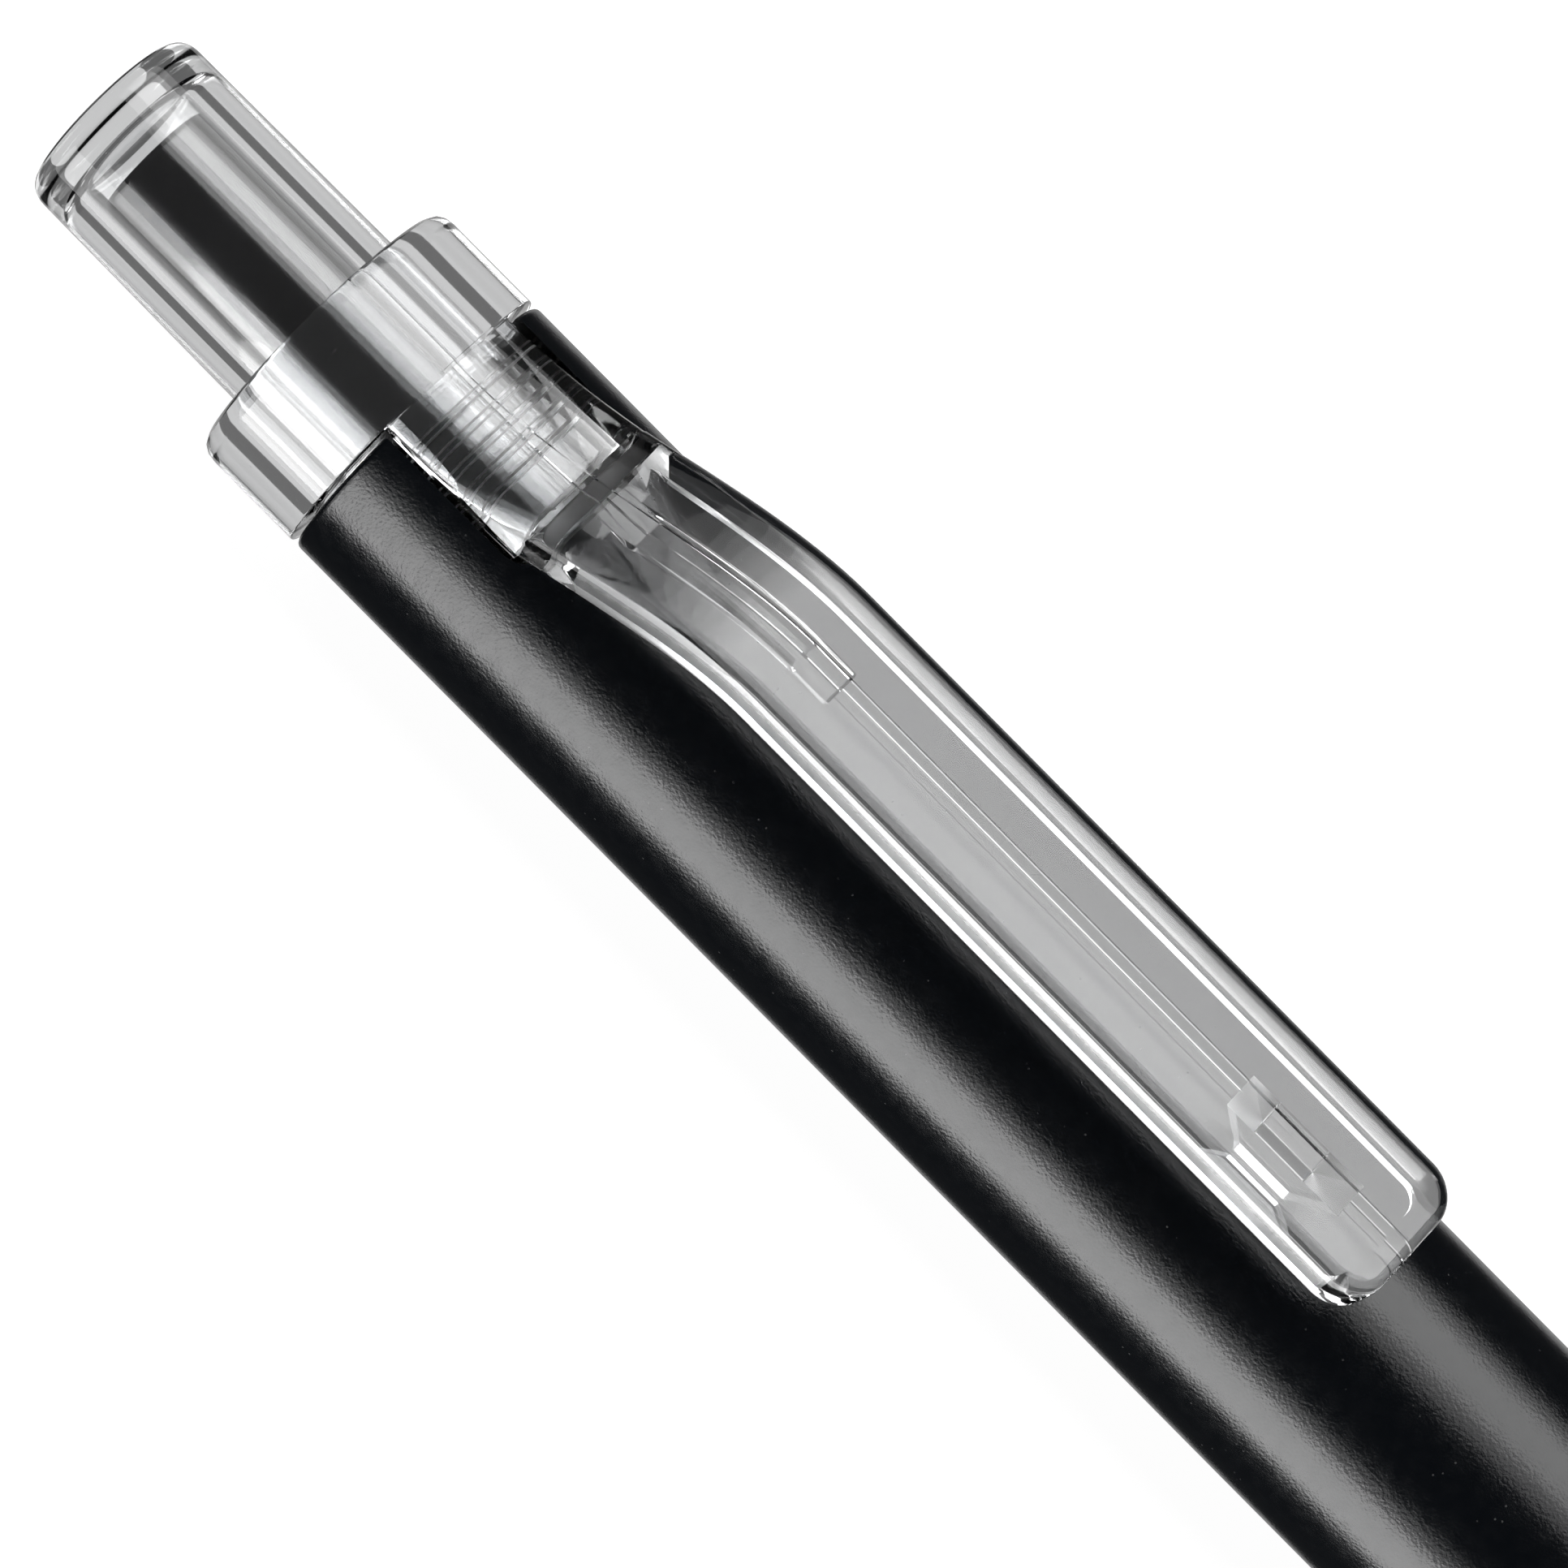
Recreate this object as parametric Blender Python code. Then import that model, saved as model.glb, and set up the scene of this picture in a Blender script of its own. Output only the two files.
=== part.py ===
"""A retractable test pen lying on its barrel: +X runs toward the tip, +Z toward the clip.

Stations are distances along the pen's axis from the barrel's top rim, positive toward the tip.
"""

import math

import bmesh
import bpy
from mathutils import Matrix, Vector

OBJECT_NAME = "counterfeit_detector_pen"
FACETS = 48
FINE_FACETS = 24
MERGE = 0.000001

# Clearances between neighbouring pieces
SEAM = 0.0002
SLIDE_GAP = 0.0001
LOOSE_GAP = 0.00015
ROOM = 0.0003

# Barrel
BARREL_RADIUS = 0.0054
BARREL_WALL = 0.0008
BARREL_LENGTH = 0.104
RIM_CHAMFER = 0.00015
NOTCH_LENGTH = 0.0066
NOTCH_HALF_WIDTH = 0.0031
NOTCH_CORNER = 0.0015
SEAL_SEAT_DEPTH = 0.0014
SEAL_SEAT_WALL = 0.0004

# Push button
BUTTON_RADIUS = 0.00355
BUTTON_END_RADIUS = 0.00348
BUTTON_REACH = 0.00985
BUTTON_CORNER = 0.0007
BUTTON_DOME = 0.00012
BUTTON_END_WALL = 0.0013
BUTTON_BORE = 0.0023
BUTTON_STROKE = 0.006
FLANGE_DEPTH = 0.00065
FLANGE_THICKNESS = 0.001
CROWN_LENGTH = 0.0013
CROWN_NOTCH_WIDTH = 0.001
CROWN_NOTCH_DEPTH = 0.0009
CROWN_CUTS = 4

# Clear collar, its plug and the root of the clip
COLLAR_LENGTH = 0.0042
COLLAR_FILLET = 0.00055
COLLAR_MOUTH_CHAMFER = 0.0002
PLUG_LENGTH = 0.0054
PLUG_RIB_GAP = 0.00012
PLUG_RIB_DEPTH = 0.00018
PLUG_RIB_COUNT = 5
PLUG_RIB_PITCH = 0.00072
PLUG_RIB_WIDTH = 0.0003
PLUG_FIRST_RIB = 0.00085
ROOT_LENGTH = 0.0061
ROOT_HALF_WIDTH = 0.00295
ROOT_CORNER = 0.0012
ROOT_RISE_START = 0.0024

# Clip arm
CLIP_LENGTH = 0.0402
CLIP_ROOT_DROP = 0.0006
CLIP_STANDOFF = 0.00386
CLIP_RISE_START = 0.0005
CLIP_RISE_END = 0.0142
CLIP_RISE_STEPS = 8
CLIP_HALF_WIDTH = 0.00278
CLIP_DEPTH = 0.00175
CLIP_PLATE = 0.001
CLIP_SIDE_WALL = 0.0009
CLIP_CORNER = 0.0014
CLIP_EDGE = 0.0003
CLIP_RIB_HALF_WIDTH = 0.0007
CLIP_RIB_END = 0.0158
CLIP_RIB_SLANT = 0.0014
FOOT_LENGTH = 0.0053
FOOT_SETBACK = 0.0022
FOOT_SLANT = 0.0015
CLIP_REST_GAP = 0.0003

# Cam rotor and its stem
STEM_RADIUS = 0.0022
STEM_TOP_GAP = 0.0011
STEM_EDGE = 0.0003
ROTOR_SHRINK = 0.00015
ROTOR_LENGTH = 0.0039
ROTOR_RIB_DEPTH = 0.0004
ROTOR_RIB_WIDTH = 0.0009
ROTOR_RIB_LENGTH = 0.0028
ROTOR_RIB_BARS = 2

# Cam sleeve
SLEEVE_LENGTH = 0.0075
SLEEVE_WALL = 0.00045
SLEEVE_NOTCH_WIDTH = 0.0012
SLEEVE_NOTCH_DEPTH = 0.002

# Refill
TUBE_RADIUS = 0.003
TUBE_WALL = 0.00065
REFILL_PLUG_FLANGE = 0.001
REFILL_PLUG_STUB = 0.0015
REFILL_PLUG_STUB_RADIUS = 0.0021
REFILL_PLUG_SPIGOT = 0.003
HOLDER_SPIGOT = 0.005
HOLDER_FLANGE = 0.0014
HOLDER_NECK_RADIUS = 0.0016
HOLDER_NECK_LENGTH = 0.0209
HOLDER_TIP_RADIUS = 0.00105
HOLDER_TIP_LENGTH = 0.006
HOLDER_BORE = 0.0008
HOLDER_BORE_DEPTH = 0.0085
FILLER_END_GAP = 0.001
NIB_RADIUS = 0.00065
NIB_REACH = 0.004
NIB_SETBACK = 0.0025
NIB_POINT_LENGTH = 0.0016
NIB_POINT_RADIUS = 0.00035

# Nose cone, its seal and the spring
NOSE_LENGTH = 0.0228
NOSE_TIP_RADIUS = 0.0019
NOSE_FULLNESS = 1.6
NOSE_STEPS = 8
NOSE_BORE_GAP = 0.0002
NOSE_NECK_BORE = 0.0019
NOSE_TIP_BORE = 0.0013
NOSE_STEP_DEPTH = 0.0081
NOSE_TIP_BORE_LENGTH = 0.006
SPIGOT_LENGTH = 0.0076
SPIGOT_GAP = 0.0003
THREAD_DEPTH = 0.00016
THREAD_PITCH = 0.00125
THREAD_WIDTH = 0.0005
THREAD_TURNS = 4
THREAD_START = 0.0008
SEAL_LENGTH = 0.0009
SPRING_RADIUS = 0.0023
SPRING_WIRE = 0.00025
SPRING_TURNS = 9
SPRING_STEPS_PER_TURN = 16
SPRING_BEVEL_RESOLUTION = 2

# Sizes and stations that follow from the ones above
NOSE_END = BARREL_LENGTH + SEAM + NOSE_LENGTH
COLLAR_TOP = -(COLLAR_LENGTH + SEAM)
BUTTON_TOP = COLLAR_TOP - BUTTON_REACH
MIDDLE = (NOSE_END + BUTTON_TOP) / 2
AXIS_HEIGHT = BARREL_RADIUS * math.cos(math.pi / FACETS)
BARREL_BORE = BARREL_RADIUS - BARREL_WALL
COLLAR_BORE = BUTTON_RADIUS + SLIDE_GAP
PLUG_RIB_RADIUS = BARREL_BORE - PLUG_RIB_GAP
PLUG_RADIUS = PLUG_RIB_RADIUS - PLUG_RIB_DEPTH
CLIP_LOW_HEIGHT = BARREL_RADIUS - CLIP_ROOT_DROP
CLIP_HEIGHT = BARREL_RADIUS + CLIP_STANDOFF
FOOT_END = CLIP_LENGTH - FOOT_SETBACK
FOOT_START = FOOT_END - FOOT_LENGTH
FLANGE_RADIUS = BUTTON_RADIUS + FLANGE_DEPTH
FLANGE_START = PLUG_LENGTH + ROOM
CROWN_END = FLANGE_START + FLANGE_THICKNESS + CROWN_LENGTH
STEM_TOP = BUTTON_TOP + BUTTON_END_WALL + STEM_TOP_GAP
ROTOR_RADIUS = BUTTON_RADIUS - ROTOR_SHRINK
ROTOR_RIB_RADIUS = ROTOR_RADIUS + ROTOR_RIB_DEPTH
ROTOR_START = CROWN_END + ROOM
ROTOR_END = ROTOR_START + ROTOR_LENGTH
SLEEVE_START = FLANGE_START + FLANGE_THICKNESS + BUTTON_STROKE + 2 * ROOM
SLEEVE_RADIUS = BARREL_BORE - LOOSE_GAP
SLEEVE_BORE = SLEEVE_RADIUS - SLEEVE_WALL
TUBE_BORE = TUBE_RADIUS - TUBE_WALL
REFILL_TOP = ROTOR_END + ROOM
TUBE_START = REFILL_TOP + REFILL_PLUG_STUB + REFILL_PLUG_FLANGE + SEAM
NIB_END = NOSE_END - NIB_SETBACK
HOLDER_END = NIB_END - NIB_REACH
NECK_END = HOLDER_END - HOLDER_TIP_LENGTH
HOLDER_FLANGE_END = NECK_END - HOLDER_NECK_LENGTH
TUBE_END = HOLDER_FLANGE_END - HOLDER_FLANGE - SEAM
NIB_START = HOLDER_END - HOLDER_BORE_DEPTH + ROOM
SPIGOT_START = BARREL_LENGTH - SPIGOT_LENGTH
SPIGOT_RADIUS = BARREL_BORE - SPIGOT_GAP
THREAD_RADIUS = SPIGOT_RADIUS + THREAD_DEPTH
NOSE_BORE = TUBE_RADIUS + NOSE_BORE_GAP
NOSE_NECK_STATION = BARREL_LENGTH + NOSE_STEP_DEPTH
NOSE_TIP_STATION = NOSE_END - NOSE_TIP_BORE_LENGTH
SPRING_START = HOLDER_FLANGE_END + ROOM
SPRING_END = NOSE_NECK_STATION - ROOM


def clear_scene():
    """Empty the scene of objects."""
    for thing in list(bpy.data.objects):
        bpy.data.objects.remove(thing, do_unlink=True)


def new_collection(name, hidden=False):
    """Make a collection in the scene; a hidden one holds cutters."""
    made = bpy.data.collections.new(name)
    made.hide_render = hidden
    bpy.context.scene.collection.children.link(made)
    return made


def new_material(name, colour, roughness, metallic=0.0, alpha=1.0):
    """Make a Principled material."""
    made = bpy.data.materials.new(name)
    made.use_nodes = True
    shader = made.node_tree.nodes["Principled BSDF"]
    shader.inputs["Base Color"].default_value = (*colour, 1.0)
    shader.inputs["Roughness"].default_value = roughness
    shader.inputs["Metallic"].default_value = metallic
    shader.inputs["Alpha"].default_value = alpha
    return made


def place(station, across=0.0, height=0.0):
    """Turn a station, a sideways distance and a height above the axis into a point."""
    return Vector((station - MIDDLE, across, height + AXIS_HEIGHT))


def new_object(bm, name, collection, material=None, smooth=False):
    """Store a bmesh as an object in a collection."""
    bmesh.ops.recalc_face_normals(bm, faces=bm.faces)
    mesh = bpy.data.meshes.new(name)
    bm.to_mesh(mesh)
    bm.free()
    made = bpy.data.objects.new(name, mesh)
    collection.objects.link(made)
    if material:
        mesh.materials.append(material)
    if smooth:
        mesh.shade_smooth()
    return made


def turned(name, outline, collection, material=None, facets=FACETS):
    """Spin an outline of (station, radius) pairs about the pen's axis.

    An outline that starts and ends at radius 0 makes a solid; any other is closed into a ring.
    """
    bm = bmesh.new()
    verts = [bm.verts.new(place(station, 0.0, radius)) for station, radius in outline]
    edges = [bm.edges.new(pair) for pair in zip(verts, verts[1:])]
    solid = outline[0][1] == 0.0 and outline[-1][1] == 0.0
    if not solid:
        edges.append(bm.edges.new((verts[-1], verts[0])))
    bmesh.ops.spin(
        bm,
        geom=verts + edges,
        cent=place(0.0),
        axis=(1.0, 0.0, 0.0),
        angle=math.tau,
        steps=facets,
        use_merge=True,
    )
    bmesh.ops.remove_doubles(bm, verts=bm.verts, dist=MERGE)
    half_facet = Matrix.Rotation(math.pi / facets, 3, "X")
    bmesh.ops.rotate(bm, verts=bm.verts, cent=place(0.0), matrix=half_facet)
    return new_object(bm, name, collection, material, smooth=True)


def lofted(name, sections, collection):
    """Join rectangles given as (station, half width, low, high) into one solid."""
    bm = bmesh.new()
    rings = []
    for station, half_width, low, high in sections:
        corners = ((-half_width, low), (half_width, low), (half_width, high), (-half_width, high))
        rings.append([bm.verts.new(place(station, across, height)) for across, height in corners])
    bm.faces.new(rings[0])
    bm.faces.new(rings[-1])
    for first, second in zip(rings, rings[1:]):
        for index in range(len(first)):
            after = (index + 1) % len(first)
            bm.faces.new((first[index], first[after], second[after], second[index]))
    return new_object(bm, name, collection)


def slab(name, side_outline, half_width, collection):
    """Give an outline of (station, height) pairs a thickness across the pen."""
    bm = bmesh.new()
    verts = [bm.verts.new(place(station, -half_width, height)) for station, height in side_outline]
    face = bm.faces.new(verts)
    pulled = bmesh.ops.extrude_face_region(bm, geom=[face])
    moved = [item for item in pulled["geom"] if isinstance(item, bmesh.types.BMVert)]
    bmesh.ops.translate(bm, verts=moved, vec=(0.0, 2 * half_width, 0.0))
    return new_object(bm, name, collection)


def round_corners(thing, station, radius, segments):
    """Round the upright edges of a solid at one station."""
    bm = bmesh.new()
    bm.from_mesh(thing.data)
    target = place(station).x
    edges = []
    for edge in bm.edges:
        low, high = (vert.co for vert in edge.verts)
        at_end = abs(low.x - target) < MERGE and abs(high.x - target) < MERGE
        if at_end and abs(low.y - high.y) < MERGE:
            edges.append(edge)
    bmesh.ops.bevel(bm, geom=edges, offset=radius, segments=segments, profile=0.5, affect="EDGES")
    bm.to_mesh(thing.data)
    bm.free()


def soften_outer_edge(thing, station, size):
    """Round the outline of the clip's outer face, except where it meets its root."""
    bm = bmesh.new()
    bm.from_mesh(thing.data)
    bmesh.ops.recalc_face_normals(bm, faces=bm.faces)
    root = place(station).x
    edges = []
    for edge in bm.edges:
        tilts = sorted(face.normal.z for face in edge.link_faces)
        at_root = all(abs(vert.co.x - root) < MERGE for vert in edge.verts)
        if not at_root and abs(tilts[0]) < 0.5 < tilts[1]:
            edges.append(edge)
    bmesh.ops.bevel(bm, geom=edges, offset=size, segments=2, profile=0.5, affect="EDGES")
    bm.to_mesh(thing.data)
    bm.free()


def combine(target, tool, operation):
    """Apply one exact Boolean to a solid."""
    step = target.modifiers.new(f"{operation.lower()}_{tool.name}", "BOOLEAN")
    step.operation = operation
    step.solver = "EXACT"
    step.object = tool
    tool.display_type = "WIRE"


def cross_bars(name, count, width, start, end, reach, collection):
    """Make flat bars through the axis, evenly turned about it."""
    bars = []
    for index in range(count):
        bar = lofted(
            f"{name}_{index}",
            ((start, width / 2, -reach, reach), (end, width / 2, -reach, reach)),
            collection,
        )
        turn = Matrix.Rotation(math.pi * index / count, 3, "X")
        bm = bmesh.new()
        bm.from_mesh(bar.data)
        bmesh.ops.rotate(bm, verts=bm.verts, cent=place(0.0), matrix=turn)
        bm.to_mesh(bar.data)
        bm.free()
        bars.append(bar)
    return bars


def quarter_round(station, radius, size, steps=4):
    """List points of a rounded corner from the end face to the side of a turned piece."""
    points = []
    for index in range(steps + 1):
        angle = math.pi / 2 * index / steps
        along = size * (1 - math.cos(angle))
        points.append((station + along, radius - size + size * math.sin(angle)))
    return points


def ease(amount):
    """Blend smoothly from 0 to 1."""
    held = min(1.0, max(0.0, amount))
    return held * held * (3 - 2 * held)


def clip_height(station):
    """Height of the clip's outer face above the axis."""
    share = ease((station - CLIP_RISE_START) / (CLIP_RISE_END - CLIP_RISE_START))
    return CLIP_LOW_HEIGHT + (CLIP_HEIGHT - CLIP_LOW_HEIGHT) * share


def clip_half_width(station):
    """Half the clip's width, wide at its root and narrower once it is level."""
    share = ease((station - ROOT_LENGTH) / (CLIP_RISE_END - ROOT_LENGTH))
    return ROOT_HALF_WIDTH + (CLIP_HALF_WIDTH - ROOT_HALF_WIDTH) * share


def clip_stations(start, end):
    """Stations that follow the clip's rise and then its level length."""
    rising = CLIP_RISE_END - start
    bends = [start + rising * index / CLIP_RISE_STEPS for index in range(CLIP_RISE_STEPS + 1)]
    return bends + [end]


def make_barrel(pieces, cutters, material):
    """The black tube, notched at the top for the clip's root."""
    seat = BARREL_LENGTH - SEAL_SEAT_DEPTH
    seat_radius = BARREL_RADIUS - SEAL_SEAT_WALL
    outline = (
        (RIM_CHAMFER, BARREL_RADIUS),
        (0.0, BARREL_RADIUS - RIM_CHAMFER),
        (0.0, BARREL_BORE),
        (seat, BARREL_BORE),
        (seat, seat_radius),
        (BARREL_LENGTH, seat_radius),
        (BARREL_LENGTH, BARREL_RADIUS - RIM_CHAMFER),
        (BARREL_LENGTH - RIM_CHAMFER, BARREL_RADIUS),
    )
    barrel = turned("barrel", outline, pieces, material)
    low = BARREL_RADIUS / 3
    high = BARREL_RADIUS + ROOM
    notch = lofted(
        "barrel_notch",
        ((-ROOM, NOTCH_HALF_WIDTH, low, high), (NOTCH_LENGTH, NOTCH_HALF_WIDTH, low, high)),
        cutters,
    )
    round_corners(notch, NOTCH_LENGTH, NOTCH_CORNER, 5)
    combine(barrel, notch, "DIFFERENCE")
    return barrel


def plug_outline():
    """The ribbed outside of the plug, from the collar to the plug's end."""
    points = [(-SEAM, PLUG_RADIUS)]
    for index in range(PLUG_RIB_COUNT):
        start = PLUG_FIRST_RIB + index * PLUG_RIB_PITCH
        points += [
            (start, PLUG_RADIUS),
            (start, PLUG_RIB_RADIUS),
            (start + PLUG_RIB_WIDTH, PLUG_RIB_RADIUS),
            (start + PLUG_RIB_WIDTH, PLUG_RADIUS),
        ]
    points.append((PLUG_LENGTH, PLUG_RADIUS))
    return points


def make_collar(pieces, cutters, material):
    """The clear collar with its ribbed plug and the root that fills the barrel's notch."""
    outline = [(COLLAR_TOP, COLLAR_BORE + COLLAR_MOUTH_CHAMFER)]
    outline += quarter_round(COLLAR_TOP, BARREL_RADIUS, COLLAR_FILLET)
    outline += [(-SEAM, BARREL_RADIUS)]
    outline += plug_outline()
    outline += [(PLUG_LENGTH, COLLAR_BORE), (COLLAR_TOP + COLLAR_MOUTH_CHAMFER, COLLAR_BORE)]
    collar = turned("clip_collar", outline, pieces, material)
    start = -2 * SEAM
    root = lofted("collar_root", root_block_sections(start), cutters)
    round_corners(root, ROOT_LENGTH, ROOT_CORNER, 4)
    skin = turned(
        "collar_root_skin",
        (
            (start - ROOM, 0.0),
            (start - ROOM, BARREL_RADIUS - SLIDE_GAP),
            (ROOT_LENGTH + ROOM, BARREL_RADIUS - SLIDE_GAP),
            (ROOT_LENGTH + ROOM, 0.0),
        ),
        cutters,
    )
    combine(root, skin, "INTERSECT")
    rise = lofted("collar_rise", root_rise_sections(), cutters)
    round_corners(rise, ROOT_LENGTH - SLIDE_GAP, ROOT_CORNER, 4)
    combine(collar, root, "UNION")
    combine(collar, rise, "UNION")
    return collar


def root_block_sections(start):
    """Sections of the block in the notch, raised at its end to clear the button's flange."""
    low = (COLLAR_BORE + PLUG_RADIUS) / 2
    raised = FLANGE_RADIUS + LOOSE_GAP
    high = BARREL_RADIUS + ROOM
    return (
        (start, ROOT_HALF_WIDTH, low, high),
        (PLUG_LENGTH - SEAM, ROOT_HALF_WIDTH, low, high),
        (PLUG_LENGTH, ROOT_HALF_WIDTH, raised, high),
        (ROOT_LENGTH, ROOT_HALF_WIDTH, raised, high),
    )


def root_rise_sections():
    """Sections of the root where it climbs out of the notch."""
    half_width = ROOT_HALF_WIDTH - SLIDE_GAP
    length = ROOT_LENGTH - SLIDE_GAP - ROOT_RISE_START
    sections = []
    for index in range(CLIP_RISE_STEPS // 2 + 1):
        station = ROOT_RISE_START + length * index / (CLIP_RISE_STEPS // 2)
        sections.append((station, half_width, FLANGE_RADIUS + 2 * LOOSE_GAP, clip_height(station)))
    return sections


def make_clip(pieces, cutters, material):
    """The clear channel-shaped clip arm with its middle rib and its foot."""
    start = ROOT_LENGTH + ROOM
    sections = []
    hollow = []
    for station in clip_stations(start, CLIP_LENGTH):
        high = clip_height(station)
        sections.append((station, clip_half_width(station), high - CLIP_DEPTH, high))
    for station in clip_stations(start - ROOM, CLIP_LENGTH - CLIP_SIDE_WALL):
        inner = clip_half_width(station) - CLIP_SIDE_WALL
        ceiling = clip_height(station) - CLIP_PLATE
        hollow.append((station, inner, ceiling - CLIP_DEPTH, ceiling))
    clip = lofted("clip_arm", sections, pieces)
    clip.data.materials.append(material)
    round_corners(clip, CLIP_LENGTH, CLIP_CORNER, 4)
    soften_outer_edge(clip, start, CLIP_EDGE)
    pocket = lofted("clip_pocket", hollow, cutters)
    combine(clip, pocket, "DIFFERENCE")
    combine(clip, slab("clip_rib", rib_outline(start), CLIP_RIB_HALF_WIDTH, cutters), "UNION")
    combine(clip, slab("clip_foot", foot_outline(), CLIP_RIB_HALF_WIDTH, cutters), "UNION")
    room = turned(
        "clip_room",
        (
            (0.0, 0.0),
            (0.0, BARREL_RADIUS + CLIP_REST_GAP),
            (CLIP_LENGTH + ROOM, BARREL_RADIUS + CLIP_REST_GAP),
            (CLIP_LENGTH + ROOM, 0.0),
        ),
        cutters,
    )
    combine(clip, room, "DIFFERENCE")
    return clip


def rib_outline(start):
    """Side outline of the clip's middle rib, from its root to its slanted end."""
    inside_plate = CLIP_PLATE / 2
    stations = clip_stations(start, CLIP_RIB_END)
    top = [(station, clip_height(station) - inside_plate) for station in stations]
    low_end = CLIP_RIB_END - CLIP_RIB_SLANT
    low = [(station, clip_height(station) - CLIP_DEPTH) for station in stations if station < low_end]
    low.append((low_end, clip_height(low_end) - CLIP_DEPTH))
    return top + low[::-1]


def foot_outline():
    """Side outline of the foot that nearly touches the barrel."""
    top = CLIP_HEIGHT - CLIP_PLATE / 2
    low = BARREL_RADIUS + CLIP_REST_GAP / 2
    return (
        (FOOT_START, top),
        (FOOT_END, top),
        (FOOT_END - FOOT_SLANT, low),
        (FOOT_START + FOOT_SLANT, low),
    )


def make_button(pieces, cutters, material):
    """The clear push button: a long cup with a stop flange and a crown of teeth."""
    flange_end = FLANGE_START + FLANGE_THICKNESS
    outline = [(BUTTON_TOP, 0.0)]
    outline += quarter_round(BUTTON_TOP + BUTTON_DOME, BUTTON_END_RADIUS, BUTTON_CORNER)
    outline += [
        (COLLAR_TOP, BUTTON_RADIUS),
        (FLANGE_START, BUTTON_RADIUS),
        (FLANGE_START, FLANGE_RADIUS),
        (flange_end, FLANGE_RADIUS),
        (flange_end, BUTTON_RADIUS),
        (CROWN_END, BUTTON_RADIUS),
        (CROWN_END, BUTTON_BORE),
        (BUTTON_TOP + BUTTON_END_WALL, BUTTON_BORE),
        (BUTTON_TOP + BUTTON_END_WALL, 0.0),
    ]
    button = turned("push_button", outline, pieces, material)
    bars = cross_bars(
        "crown_notch", CROWN_CUTS, CROWN_NOTCH_WIDTH,
        CROWN_END - CROWN_NOTCH_DEPTH, CROWN_END + ROOM, 2 * BUTTON_RADIUS, cutters,
    )
    for bar in bars:
        combine(button, bar, "DIFFERENCE")
    return button


def make_rotor(pieces, cutters, material):
    """The dark stem seen through the button, with the ribbed cam below it."""
    outline = (
        (STEM_TOP, 0.0),
        (STEM_TOP, STEM_RADIUS - STEM_EDGE),
        (STEM_TOP + STEM_EDGE, STEM_RADIUS),
        (ROTOR_START, STEM_RADIUS),
        (ROTOR_START, ROTOR_RADIUS),
        (ROTOR_END, ROTOR_RADIUS),
        (ROTOR_END, 0.0),
    )
    rotor = turned("cam_rotor", outline, pieces, material)
    inset = (ROTOR_LENGTH - ROTOR_RIB_LENGTH) / 2
    ribs = cross_bars(
        "rotor_rib", ROTOR_RIB_BARS, ROTOR_RIB_WIDTH,
        ROTOR_START + inset, ROTOR_END - inset, ROTOR_RIB_RADIUS, cutters,
    )
    for rib in ribs:
        combine(rotor, rib, "UNION")
    return rotor


def make_sleeve(pieces, cutters, material):
    """The fixed ring with a toothed lower edge that the cam locks against."""
    end = SLEEVE_START + SLEEVE_LENGTH
    outline = (
        (SLEEVE_START, SLEEVE_BORE),
        (SLEEVE_START, SLEEVE_RADIUS),
        (end, SLEEVE_RADIUS),
        (end, SLEEVE_BORE),
    )
    sleeve = turned("cam_sleeve", outline, pieces, material)
    bars = cross_bars(
        "sleeve_notch", CROWN_CUTS, SLEEVE_NOTCH_WIDTH,
        end - SLEEVE_NOTCH_DEPTH, end + ROOM, BARREL_RADIUS, cutters,
    )
    for bar in bars:
        combine(sleeve, bar, "DIFFERENCE")
    return sleeve


def make_refill(pieces, materials):
    """The refill: end plug, tube, ink filler, nib holder and fibre nib."""
    inside = TUBE_BORE - LOOSE_GAP
    flange_start = REFILL_TOP + REFILL_PLUG_STUB
    flange_end = flange_start + REFILL_PLUG_FLANGE
    plug_end = TUBE_START + REFILL_PLUG_SPIGOT
    plug = (
        (REFILL_TOP, 0.0), (REFILL_TOP, REFILL_PLUG_STUB_RADIUS),
        (flange_start, REFILL_PLUG_STUB_RADIUS), (flange_start, TUBE_RADIUS),
        (flange_end, TUBE_RADIUS), (flange_end, inside),
        (plug_end, inside), (plug_end, 0.0),
    )
    turned("refill_plug", plug, pieces, materials["black"], FINE_FACETS)
    tube = (
        (TUBE_START, TUBE_BORE), (TUBE_START, TUBE_RADIUS),
        (TUBE_END, TUBE_RADIUS), (TUBE_END, TUBE_BORE),
    )
    turned("refill_tube", tube, pieces, materials["tube"], FINE_FACETS)
    filler_start = plug_end + FILLER_END_GAP
    filler_end = TUBE_END - HOLDER_SPIGOT - FILLER_END_GAP
    filler = (
        (filler_start, 0.0), (filler_start, inside), (filler_end, inside), (filler_end, 0.0),
    )
    turned("ink_filler", filler, pieces, materials["ink"], FINE_FACETS)
    turned("nib_holder", holder_outline(), pieces, materials["black"], FINE_FACETS)
    nib = (
        (NIB_START, 0.0), (NIB_START, NIB_RADIUS), (NIB_END - NIB_POINT_LENGTH, NIB_RADIUS),
        (NIB_END - NIB_POINT_RADIUS, NIB_POINT_RADIUS), (NIB_END, 0.0),
    )
    turned("nib", nib, pieces, materials["fibre"], FINE_FACETS)


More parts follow.
